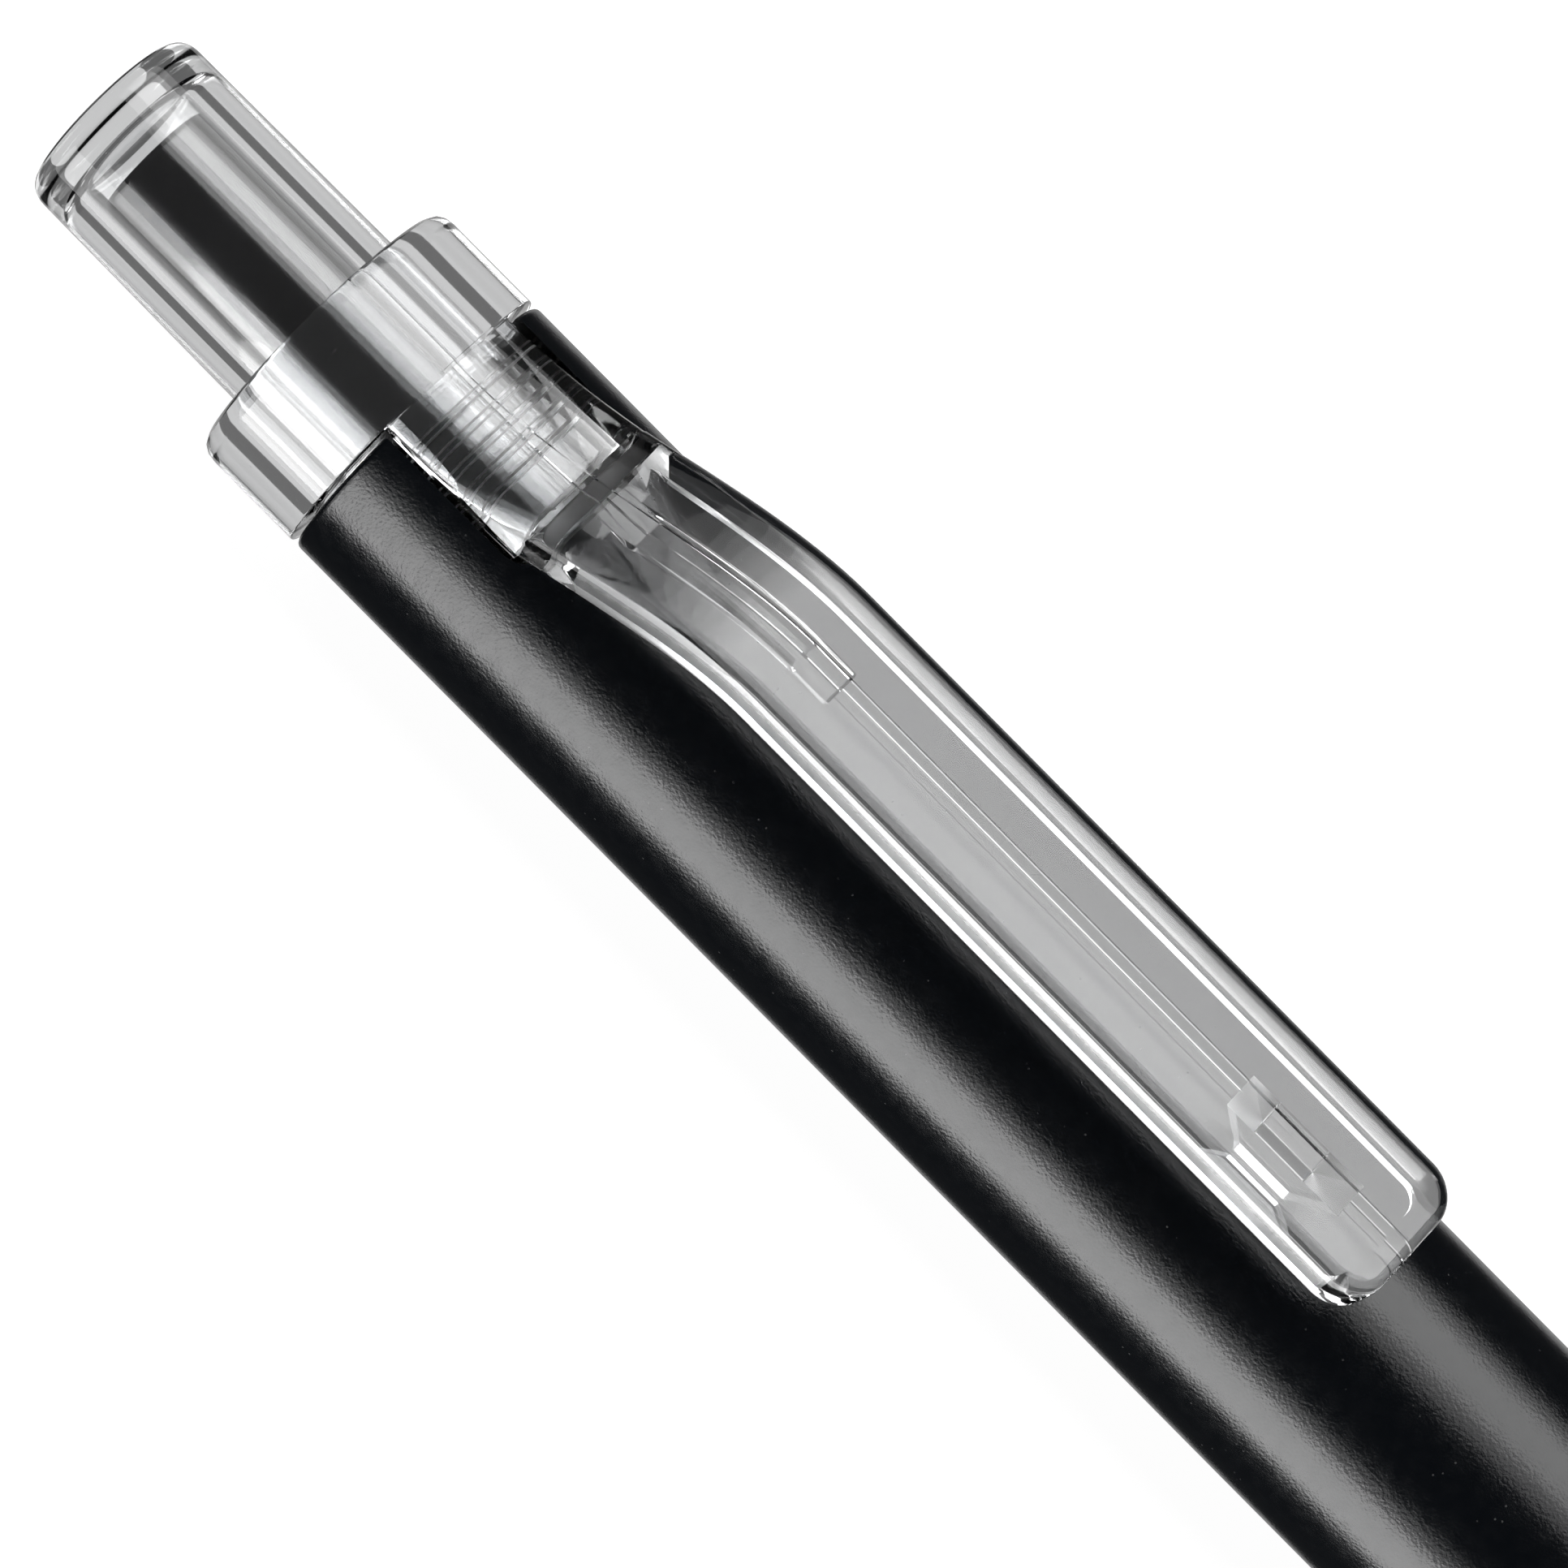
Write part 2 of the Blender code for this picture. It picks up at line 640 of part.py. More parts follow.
def holder_outline():
    """The stepped nib holder with its blind bore."""
    bore_end = HOLDER_END - HOLDER_BORE_DEPTH
    start = TUBE_END - HOLDER_SPIGOT
    inside = TUBE_BORE - LOOSE_GAP
    return (
        (start, 0.0), (start, inside), (TUBE_END + SEAM, inside),
        (TUBE_END + SEAM, TUBE_RADIUS), (HOLDER_FLANGE_END, TUBE_RADIUS),
        (HOLDER_FLANGE_END, HOLDER_NECK_RADIUS), (NECK_END, HOLDER_NECK_RADIUS),
        (NECK_END, HOLDER_TIP_RADIUS), (HOLDER_END, HOLDER_TIP_RADIUS),
        (HOLDER_END, HOLDER_BORE), (bore_end, HOLDER_BORE), (bore_end, 0.0),
    )


def nose_skin():
    """The nose cone's outside from the barrel's mouth to its tip."""
    points = []
    for index in range(NOSE_STEPS + 1):
        share = index / NOSE_STEPS
        fall = (BARREL_RADIUS - NOSE_TIP_RADIUS) * share ** NOSE_FULLNESS
        points.append((BARREL_LENGTH + SEAM + NOSE_LENGTH * share, BARREL_RADIUS - fall))
    return points


def spigot_outline():
    """The nose cone's spigot with its thread ridges, from its free end to the shoulder."""
    points = [(SPIGOT_START, SPIGOT_RADIUS)]
    for index in range(THREAD_TURNS):
        start = SPIGOT_START + THREAD_START + index * THREAD_PITCH
        points += [
            (start, SPIGOT_RADIUS),
            (start + THREAD_WIDTH / 2, THREAD_RADIUS),
            (start + THREAD_WIDTH, SPIGOT_RADIUS),
        ]
    points.append((BARREL_LENGTH + SEAM, SPIGOT_RADIUS))
    return points


def make_nose(pieces, materials):
    """The screw-in nose cone and the rubber ring in the barrel's mouth."""
    outline = spigot_outline() + nose_skin()
    outline += [
        (NOSE_END, NOSE_TIP_BORE), (NOSE_TIP_STATION, NOSE_TIP_BORE),
        (NOSE_TIP_STATION, NOSE_NECK_BORE), (NOSE_NECK_STATION, NOSE_NECK_BORE),
        (NOSE_NECK_STATION, NOSE_BORE), (SPIGOT_START, NOSE_BORE),
    ]
    turned("nose_cone", outline, pieces, materials["barrel"])
    start = BARREL_LENGTH - (SEAL_SEAT_DEPTH + SEAL_LENGTH) / 2
    inner = SPIGOT_RADIUS + LOOSE_GAP
    outer = BARREL_RADIUS - SEAL_SEAT_WALL - LOOSE_GAP
    ring = (
        (start, inner), (start, outer), (start + SEAL_LENGTH, outer), (start + SEAL_LENGTH, inner),
    )
    turned("nose_seal", ring, pieces, materials["rubber"])


def make_spring(pieces, cutters, material):
    """The coil spring between the refill's flange and the step in the nose cone."""
    curve = bpy.data.curves.new("spring_path", "CURVE")
    curve.dimensions = "3D"
    curve.bevel_depth = SPRING_WIRE
    curve.bevel_resolution = SPRING_BEVEL_RESOLUTION
    curve.use_fill_caps = True
    steps = SPRING_TURNS * SPRING_STEPS_PER_TURN
    spline = curve.splines.new("POLY")
    spline.points.add(steps)
    first = SPRING_START + SPRING_WIRE
    last = SPRING_END - SPRING_WIRE
    for index in range(steps + 1):
        angle = math.tau * index / SPRING_STEPS_PER_TURN
        station = first + (last - first) * index / steps
        point = place(station, SPRING_RADIUS * math.cos(angle), SPRING_RADIUS * math.sin(angle))
        spline.points[index].co = (*point, 1.0)
    path = bpy.data.objects.new("spring_path", curve)
    cutters.objects.link(path)
    bpy.context.view_layer.update()
    graph = bpy.context.evaluated_depsgraph_get()
    mesh = bpy.data.meshes.new_from_object(path.evaluated_get(graph))
    bm = bmesh.new()
    bm.from_mesh(mesh)
    bmesh.ops.remove_doubles(bm, verts=bm.verts, dist=MERGE)
    bpy.data.objects.remove(path, do_unlink=True)
    return new_object(bm, "spring", pieces, material, smooth=True)


def main():
    """Build every piece of the pen."""
    clear_scene()
    pieces = new_collection(OBJECT_NAME)
    cutters = new_collection("cutters", hidden=True)
    materials = {
        "barrel": new_material("barrel_black", (0.006, 0.007, 0.009), 0.4),
        "clear": new_material("clear_plastic", (0.95, 0.96, 0.97), 0.05, alpha=0.35),
        "black": new_material("gloss_black", (0.01, 0.01, 0.012), 0.2),
        "white": new_material("cam_white", (0.8, 0.8, 0.8), 0.4),
        "tube": new_material("refill_tube", (0.75, 0.76, 0.76), 0.35),
        "ink": new_material("test_ink", (0.45, 0.28, 0.08), 0.8),
        "fibre": new_material("nib_fibre", (0.5, 0.36, 0.16), 0.9),
        "rubber": new_material("seal_rubber", (0.02, 0.02, 0.02), 0.8),
        "steel": new_material("spring_steel", (0.6, 0.6, 0.62), 0.3, metallic=1.0),
    }
    make_barrel(pieces, cutters, materials["barrel"])
    make_collar(pieces, cutters, materials["clear"])
    make_clip(pieces, cutters, materials["clear"])
    make_button(pieces, cutters, materials["clear"])
    make_rotor(pieces, cutters, materials["black"])
    make_sleeve(pieces, cutters, materials["white"])
    make_refill(pieces, materials)
    make_nose(pieces, materials)
    make_spring(pieces, cutters, materials["steel"])


main()
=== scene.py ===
"""A retractable banknote test pen with a clear clip, dressed for a plain studio view.

Stations are distances in metres along the pen's axis from the barrel's top rim, positive
toward the tip. The clip stands on the +Z side of the axis.
"""

import logging
import math
from collections.abc import Callable, Iterable, Sequence
from dataclasses import dataclass, replace
from enum import Enum

import bmesh
import bpy
from mathutils import Matrix, Vector


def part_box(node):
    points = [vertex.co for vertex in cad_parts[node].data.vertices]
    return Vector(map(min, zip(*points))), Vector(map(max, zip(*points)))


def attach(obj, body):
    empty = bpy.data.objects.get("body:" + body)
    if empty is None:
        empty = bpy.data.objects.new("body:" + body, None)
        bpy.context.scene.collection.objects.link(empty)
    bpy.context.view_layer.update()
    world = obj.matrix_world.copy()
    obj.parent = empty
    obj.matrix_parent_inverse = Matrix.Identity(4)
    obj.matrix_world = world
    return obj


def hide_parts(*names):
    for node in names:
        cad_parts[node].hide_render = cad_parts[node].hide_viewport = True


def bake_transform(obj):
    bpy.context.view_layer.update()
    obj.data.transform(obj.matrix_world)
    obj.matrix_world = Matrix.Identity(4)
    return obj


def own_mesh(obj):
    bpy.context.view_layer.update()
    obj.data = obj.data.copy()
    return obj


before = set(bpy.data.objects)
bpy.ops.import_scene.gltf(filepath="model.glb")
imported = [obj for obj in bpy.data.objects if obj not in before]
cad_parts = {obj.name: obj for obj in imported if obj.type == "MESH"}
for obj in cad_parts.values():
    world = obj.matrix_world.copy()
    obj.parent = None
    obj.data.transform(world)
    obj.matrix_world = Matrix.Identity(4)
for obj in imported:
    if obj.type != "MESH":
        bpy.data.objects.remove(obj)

Object = bpy.types.Object
Material = bpy.types.Material
Mesh = bmesh.types.BMesh
Node = bpy.types.Node
Socket = bpy.types.NodeSocket
Sockets = bpy.types.bpy_prop_collection
Edge = bmesh.types.BMEdge
EdgeTest = Callable[[Edge], bool]
Point = tuple[float, float]
Corner = tuple[float, float, float]  # station, radius and rounding
Colour = tuple[float, float, float]
Stations = tuple[float, float, float]

ROUND_STEPS = 160  # round a large turned piece
MIDDLE_STEPS = 96
SMALL_STEPS = 64
RING_POINTS = 20  # round the seal's section
WELD = 1e-7  # points nearer than this are one
CREASE = 32.0  # the angle in degrees over which an edge stays sharp
FINE = 0.0001  # a fine rounding, or a hair's room
SOFT = 0.0002  # a softer rounding
CLEAR = 0.0003  # how far a cutter reaches past what it cuts
BAR_REACH = 0.006  # past the widest piece that bars cut
FADE_LAMPS = 4  # lamps that make one fading strip
FADE_BACK = 0.004  # how far each hangs behind the last, so that none hides another
WHITE = (1.0, 1.0, 1.0, 1.0)
ALONG = Vector((1.0, 0.0, 0.0))
log = logging.getLogger("pen")


class Join(Enum):
    """How a tool solid changes the solid it is applied to."""

    ADD = "UNION"
    CUT = "DIFFERENCE"


@dataclass(frozen=True)
class PenAxis:
    """The pen's own line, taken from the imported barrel."""

    start: float  # the X of the barrel's top rim
    height: float  # the Z of the axis
    radius: float  # the barrel's outside radius
    length: float  # the barrel's length

    @classmethod
    def of_barrel(cls, node: str) -> "PenAxis":
        """Measure the axis from a packed tube.

        Args:
            node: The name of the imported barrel.

        Returns:
            The axis that runs through it.
        """
        low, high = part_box(node)
        return cls(low.x, (low.z + high.z) / 2, (high.y - low.y) / 2, high.x - low.x)

    def point(self, station: float, across: float = 0.0, up: float = 0.0) -> Vector:
        """Return the point at a station, a sideways distance and a height above the axis."""
        return Vector((self.start + station, across, self.height + up))

    def station(self, x: float) -> float:
        """Return the station of an X coordinate."""
        return x - self.start


def ease(amount: float) -> float:
    """Blend smoothly from 0 to 1 as amount goes from 0 to 1."""
    held = min(1.0, max(0.0, amount))
    return held * held * (3.0 - 2.0 * held)


def spaced(start: float, end: float, count: int) -> list[float]:
    """Return count evenly spaced numbers from start to end."""
    return [start + (end - start) * index / (count - 1) for index in range(count)]


def rounded(corners: Sequence[Corner], steps: int = 5) -> list[Point]:
    """Round the corners of an outline.

    Args:
        corners: Station, radius and corner size of each point.
        steps: How many points a rounded corner gets.

    Returns:
        The outline's points.
    """
    points: list[Point] = []
    for index, (station, radius, size) in enumerate(corners):
        here = Vector((station, radius))
        inner = 0 < index < len(corners) - 1
        if size <= 0.0 or not inner:
            points.append((station, radius))
            continue
        before = Vector(corners[index - 1][:2]) - here
        after = Vector(corners[index + 1][:2]) - here
        first = here + before.normalized() * min(size, before.length * 0.49)
        last = here + after.normalized() * min(size, after.length * 0.49)
        for share in spaced(0.0, 1.0, steps):
            spot = first * (1 - share) ** 2 + here * 2 * share * (1 - share) + last * share**2
            points.append((spot.x, spot.y))
    return points


def placed(name: str, data: bpy.types.ID) -> Object:
    """Put a new object in the scene, at the origin.

    Args:
        name: Its name.
        data: Its mesh, lamp or camera.

    Returns:
        The object.
    """
    made = bpy.data.objects.new(name, data)
    bpy.context.scene.collection.objects.link(made)
    return made


def closed(shape: Mesh) -> Mesh:
    """Merge a mesh's doubles and turn its faces outwards.

    Args:
        shape: The mesh to change.

    Returns:
        The same mesh.
    """
    bmesh.ops.remove_doubles(shape, verts=shape.verts, dist=WELD)
    bmesh.ops.recalc_face_normals(shape, faces=shape.faces)
    return shape


def finished(shape: Mesh, name: str) -> Object:
    """Turn a bmesh into an object with smooth faces and sharp creases.

    Args:
        shape: The mesh, which is freed.
        name: The object's name.

    Returns:
        The new object.
    """
    mesh = bpy.data.meshes.new(name)
    closed(shape).to_mesh(mesh)
    shape.free()
    made = placed(name, mesh)
    settle(made)
    return made


def settle(piece: Object, crease: float = CREASE) -> None:
    """Smooth a piece's faces and keep its sharp edges.

    Args:
        piece: The piece to shade.
        crease: The angle in degrees over which an edge stays sharp.
    """
    piece.data.shade_smooth()
    piece.data.set_sharp_from_angle(angle=math.radians(crease))


def bake_modifiers(piece: Object) -> None:
    """Apply a piece's modifiers to its mesh.

    Args:
        piece: The piece.
    """
    bpy.context.view_layer.update()
    graph = bpy.context.evaluated_depsgraph_get()
    mesh = bpy.data.meshes.new_from_object(piece.evaluated_get(graph))
    piece.modifiers.clear()
    piece.data = mesh


def combine(piece: Object, tool: Object, how: Join) -> Object:
    """Add or cut away another solid, which is used up.

    Args:
        piece: The solid that stays.
        tool: The solid that is used up.
        how: What the tool does.

    Returns:
        The piece.
    """
    step = piece.modifiers.new("join", "BOOLEAN")
    step.operation = how.value
    step.solver = "EXACT"
    step.object = tool
    bake_modifiers(piece)
    bpy.data.objects.remove(tool, do_unlink=True)
    return piece


def turned(axis: PenAxis, outline: Sequence[Point], steps: int = ROUND_STEPS) -> Mesh:
    """Spin an outline of station and radius about the pen's axis.

    Args:
        axis: The pen's axis.
        outline: Points from one end to the other. It is closed into a ring unless both ends
            lie on the axis.
        steps: How many steps make the full turn.

    Returns:
        The turned mesh.
    """
    shape = bmesh.new()
    verts = [shape.verts.new(axis.point(station, 0.0, radius)) for station, radius in outline]
    edges = [shape.edges.new(pair) for pair in zip(verts, verts[1:])]
    if outline[0][1] > 0.0 or outline[-1][1] > 0.0:
        edges.append(shape.edges.new((verts[-1], verts[0])))
    bmesh.ops.spin(
        shape,
        geom=verts + edges,
        cent=axis.point(0.0),
        axis=ALONG,
        angle=math.tau,
        steps=steps,
        use_merge=True,
    )
    return closed(shape)


def drum(axis: PenAxis, start: float, end: float, radius: float, name: str) -> Object:
    """Make a plain round bar about the pen's axis."""
    outline = [(start, 0.0), (start, radius), (end, radius), (end, 0.0)]
    return finished(turned(axis, outline), name)


def block(low: Vector, high: Vector) -> Mesh:
    """Make a box between two corners.

    Args:
        low: Its lowest corner.
        high: Its highest corner.

    Returns:
        The box.
    """
    shape = bmesh.new()
    bmesh.ops.create_cube(shape, size=1.0)
    bmesh.ops.scale(shape, verts=shape.verts, vec=high - low)
    bmesh.ops.translate(shape, verts=shape.verts, vec=(low + high) / 2)
    return shape


def round_edges(shape: Mesh, chosen: EdgeTest, size: float, segments: int) -> None:
    """Bevel the edges that a test picks.

    Args:
        shape: The mesh to change.
        chosen: The test that picks an edge.
        size: The bevel's width.
        segments: How many faces round each edge.
    """
    shape.normal_update()
    edges = [edge for edge in shape.edges if chosen(edge)]
    bmesh.ops.bevel(
        shape,
        geom=edges,
        offset=size,
        segments=segments,
        profile=0.5,
        affect="EDGES",
        material=-1,
        clamp_overlap=True,
    )


def slice_along(shape: Mesh, spots: Iterable[Vector], normal: Vector = ALONG) -> None:
    """Cut a mesh's faces by planes, keeping both sides.

    Args:
        shape: The mesh to change.
        spots: A point on each plane.
        normal: The direction the planes face.
    """
    for spot in spots:
        bmesh.ops.bisect_plane(
            shape,
            geom=shape.verts[:] + shape.edges[:] + shape.faces[:],
            dist=WELD,
            plane_co=spot,
            plane_no=normal,
        )


def upright_at(x: float) -> EdgeTest:
    """Pick the upright edges of a box at one X.

    Args:
        x: The X.

    Returns:
        The test that picks them.
    """

    def test(edge: Edge) -> bool:
        """Return whether an edge stands at that X."""
        first, second = (vert.co for vert in edge.verts)
        return max(abs(first.x - x), abs(second.x - x), abs(first.y - second.y)) < WELD

    return test


def rim_of(up: bool, skip_x: float) -> EdgeTest:
    """Pick the outline of a box's top or bottom face, apart from the end at one X.

    Args:
        up: Whether it is the top face.
        skip_x: The X of the end that stays sharp.

    Returns:
        The test that picks it.
    """

    def test(edge: Edge) -> bool:
        """Return whether an edge lies on that outline.

        Args:
            edge: An edge of the box.

        Returns:
            True on the outline.
        """
        tilts = sorted(face.normal.z * (1 if up else -1) for face in edge.link_faces)
        at_end = all(abs(vert.co.x - skip_x) < WELD for vert in edge.verts)
        return not at_end and abs(tilts[0]) < 0.2 and tilts[-1] > 0.9

    return test


def fix(node: Node, **values: object) -> None:
    """Set a node's own inputs, named with underscores for spaces."""
    for label, value in values.items():
        node.inputs[label.replace("_", " ")].default_value = value


class Shade:
    """A small hand for laying nodes in a material or a group."""

    def __init__(self, tree: bpy.types.NodeTree) -> None:
        """Hold the tree that nodes go into."""
        self.tree = tree

    def node(self, kind: str, **settings: object) -> Node:
        """Add a node.

        Args:
            kind: The node's type name.
            settings: Attributes to set on it.

        Returns:
            The new node.
        """
        made = self.tree.nodes.new(kind)
        for name, value in settings.items():
            setattr(made, name, value)
        return made

    def link(self, out: Socket, into: Socket) -> None:
        """Join two sockets."""
        self.tree.links.new(out, into)

    def feed(self, into: Socket, value: float | Socket) -> None:
        """Give an input a number or another node's result.

        Args:
            into: The input.
            value: The number or the result.
        """
        if isinstance(value, Socket):
            self.link(value, into)
        else:
            into.default_value = value

    def place(self) -> Socket:
        """Return object coordinates."""
        return self.node("ShaderNodeTexCoord").outputs["Object"]

    def part_of(self, place: Socket, letter: str) -> Socket:
        """Return one coordinate of a place.

        Args:
            place: The coordinates.
            letter: X, Y or Z.

        Returns:
            That coordinate.
        """
        parts = self.node("ShaderNodeSeparateXYZ")
        self.link(place, parts.inputs[0])
        return parts.outputs[letter]

    def drawn_out(self, place: Socket, share: float) -> Socket:
        """Return a place whose patterns are drawn out along the pen.

        Args:
            place: The coordinates.
            share: How slowly they change along the pen.

        Returns:
            The changed coordinates.
        """
        stretch = self.node("ShaderNodeMapping")
        fix(stretch, Scale=(share, 1.0, 1.0))
        self.link(place, stretch.inputs["Vector"])
        return stretch.outputs["Vector"]

    def math(self, operation: str, *values: float | Socket) -> Socket:
        """Add a math node.

        Args:
            operation: The node's operation.
            values: What it works on.

        Returns:
            The result.
        """
        made = self.node("ShaderNodeMath", operation=operation)
        for into, value in zip(made.inputs, values):
            self.feed(into, value)
        return made.outputs[0]

    def noise(self, place: Socket, scale: float | Socket, detail: float) -> Socket:
        """Add a noise texture.

        Args:
            place: The coordinates.
            scale: Its fineness.
            detail: How many finer layers it has.

        Returns:
            The noise value.
        """
        made = self.node("ShaderNodeTexNoise")
        fix(made, Detail=detail)
        self.link(place, made.inputs["Vector"])
        self.feed(made.inputs["Scale"], scale)
        return made.outputs["Fac"]

    def spread(self, value: Socket, source: Point, target: tuple[float | Socket, ...]) -> Socket:
        """Map a value from one range to another, clamped.

        Args:
            value: The value to map.
            source: The range it comes from.
            target: The range it goes to.

        Returns:
            The mapped value.
        """
        made = self.node("ShaderNodeMapRange", clamp=True)
        self.link(value, made.inputs["Value"])
        for name, end in zip(("From Min", "From Max", "To Min", "To Max"), (*source, *target)):
            self.feed(made.inputs[name], end)
        return made.outputs["Result"]


class EffectGroup:
    """A shader group that several finishes share, built once."""

    name: str = "effect"
    inputs: dict[str, float] = {}
    outputs: tuple[str, ...] = ()

    def tree(self) -> bpy.types.NodeTree:
        """Return the group's tree, building it the first time.

        Returns:
            The tree.
        """
        found = bpy.data.node_groups.get(self.name)
        if found:
            return found
        made = bpy.data.node_groups.new(self.name, "ShaderNodeTree")
        for label, value in self.inputs.items():
            socket = made.interface.new_socket(label, in_out="INPUT", socket_type="NodeSocketFloat")
            socket.default_value = value
        for label in self.outputs:
            made.interface.new_socket(label, in_out="OUTPUT", socket_type="NodeSocketFloat")
        shade = Shade(made)
        entry = shade.node("NodeGroupInput").outputs
        leave = shade.node("NodeGroupOutput").inputs
        for label, value in self.fill(shade, shade.place(), entry).items():
            shade.link(value, leave[label])
        return made

    def fill(self, shade: Shade, place: Socket, entry: Sockets) -> dict[str, Socket]:
        """Lay the group's nodes.

        Args:
            shade: The hand that lays nodes in the group.
            place: Object coordinates.
            entry: The group's inputs.

        Returns:
            What goes to each output.
        """
        raise NotImplementedError

    def use(self, shade: Shade, **values: float) -> Node:
        """Place the group in a material with its own values.

        Args:
            shade: The hand that lays nodes in the material.
            values: Input values by name, with spaces as underscores.

        Returns:
            The group node.
        """
        node = shade.node("ShaderNodeGroup", node_tree=self.tree())
        fix(node, **values)
        return node


class FineGrain(EffectGroup):
    """The orange-peel grain of moulded plastic."""

    name = "fine_grain"
    inputs = {"Scale": 6000.0, "Low": 0.3, "High": 0.4}
    outputs = ("Height", "Roughness")

    def fill(self, shade: Shade, place: Socket, entry: Sockets) -> dict[str, Socket]:
        """Lay a fine noise for height and a coarser one for roughness.

        Returns:
            The height and the roughness.
        """
        scale = entry["Scale"]
        fine = shade.noise(place, scale, 1.5)
        coarse = shade.noise(place, shade.math("MULTIPLY", scale, 0.23), 2.0)
        height = shade.math("ADD", fine, shade.math("MULTIPLY", coarse, 0.3))
        rough = shade.spread(coarse, (0.35, 0.65), (entry["Low"], entry["High"]))
        return {"Height": height, "Roughness": rough}


class MouldFlow(EffectGroup):
    """The slow waviness and the parting line of clear moulded plastic."""

    name = "mould_flow"
    inputs = {"Scale": 300.0, "Line Width": 0.00005, "Line Height": 1.0}
    outputs = ("Height", "Haze")

    def fill(self, shade: Shade, place: Socket, entry: Sockets) -> dict[str, Socket]:
        """Lay stretched noise along the pen and a thin ridge in its middle plane.

        Returns:
            The height and the haze.
        """
        wave = shade.noise(shade.drawn_out(place, 0.35), entry["Scale"], 2.0)
        off_line = shade.math("ABSOLUTE", shade.part_of(place, "Y"))
        share = shade.math("DIVIDE", off_line, entry["Line Width"])
        ridge = shade.spread(share, (0.0, 1.0), (entry["Line Height"], 0.0))
        haze = shade.spread(wave, (0.3, 0.7), (0.0, 1.0))
        return {"Height": shade.math("ADD", wave, ridge), "Haze": haze}


class DustSpecks(EffectGroup):
    """Sparse pale specks of dust."""

    name = "dust_specks"
    inputs = {"Scale": 1500.0, "Amount": 0.1}
    outputs = ("Mask",)

    def fill(self, shade: Shade, place: Socket, entry: Sockets) -> dict[str, Socket]:
        """Lay small round spots where a broad noise is high.

        Returns:
            The mask of the specks.
        """
        cells = shade.node("ShaderNodeTexVoronoi", feature="F1")
        shade.link(place, cells.inputs["Vector"])
        shade.link(entry["Scale"], cells.inputs["Scale"])
        spot = shade.spread(cells.outputs["Distance"], (0.06, 0.12), (1.0, 0.0))
        patch = shade.noise(place, shade.math("MULTIPLY", entry["Scale"], 0.3), 1.0)
        held = shade.spread(patch, (0.55, 0.62), (0.0, entry["Amount"]))
        return {"Mask": shade.math("MULTIPLY", spot, held)}


@dataclass(frozen=True)
class Finish:
    """A surface finish that makes one material."""

    name: str
    colour: Colour  # linear red, green and blue
    speck_colour: Colour = (0.4, 0.4, 0.4)  # of the dust on it

    def start(self) -> tuple[Material, Shade, Node]:
        """Make the material and find its Principled shader.

        Returns:
            The material, a hand for its nodes and the shader.
        """
        made = bpy.data.materials.new(self.name)
        made.use_nodes = True
        shader = made.node_tree.nodes["Principled BSDF"]
        fix(shader, Base_Color=(*self.colour, 1.0))
        return made, Shade(made.node_tree), shader

    def tint(self, shade: Shade, shader: Node, mask: Socket) -> None:
        """Blend the speck colour over the base colour by a mask.

        Args:
            shade: The hand that lays nodes.
            shader: The Principled shader.
            mask: Where the specks show.
        """
        mix = shade.node("ShaderNodeMix", data_type="RGBA")
        fix(mix, A=(*self.colour, 1.0), B=(*self.speck_colour, 1.0))
        shade.link(mask, mix.inputs["Factor"])
        shade.link(mix.outputs["Result"], shader.inputs["Base Color"])

    def raise_by(self, shade: Shade, shader: Node, height: Socket, depth: float) -> None:
        """Bump the surface by a height value.

        Args:
            shade: The hand that lays nodes.
            shader: The Principled shader.
            height: The height value.
            depth: The height in metres of a value of 1.
        """
        bump = shade.node("ShaderNodeBump")
        fix(bump, Distance=depth, Strength=1.0)
        shade.link(height, bump.inputs["Height"])
        shade.link(bump.outputs["Normal"], shader.inputs["Normal"])


@dataclass(frozen=True)
class GrainedPlastic(Finish):
    """Opaque moulded plastic with a fine grain."""

    scale: float = 6000.0
    depth: float = 0.000004
    rough: Point = (0.3, 0.38)  # lowest and highest
    dust: float = 0.1
    specular: float = 0.5

    def build(self) -> Material:
        """Make the material.

        Returns:
            The material.
        """
        made, shade, shader = self.start()
        fix(shader, Specular_IOR_Level=self.specular)
        grain = FineGrain().use(shade, Scale=self.scale, Low=self.rough[0], High=self.rough[1])
        specks = DustSpecks().use(shade, Scale=self.scale * 0.3, Amount=self.dust)
        shade.link(grain.outputs["Roughness"], shader.inputs["Roughness"])
        self.raise_by(shade, shader, grain.outputs["Height"], self.depth)
        self.tint(shade, shader, specks.outputs["Mask"])
        return made


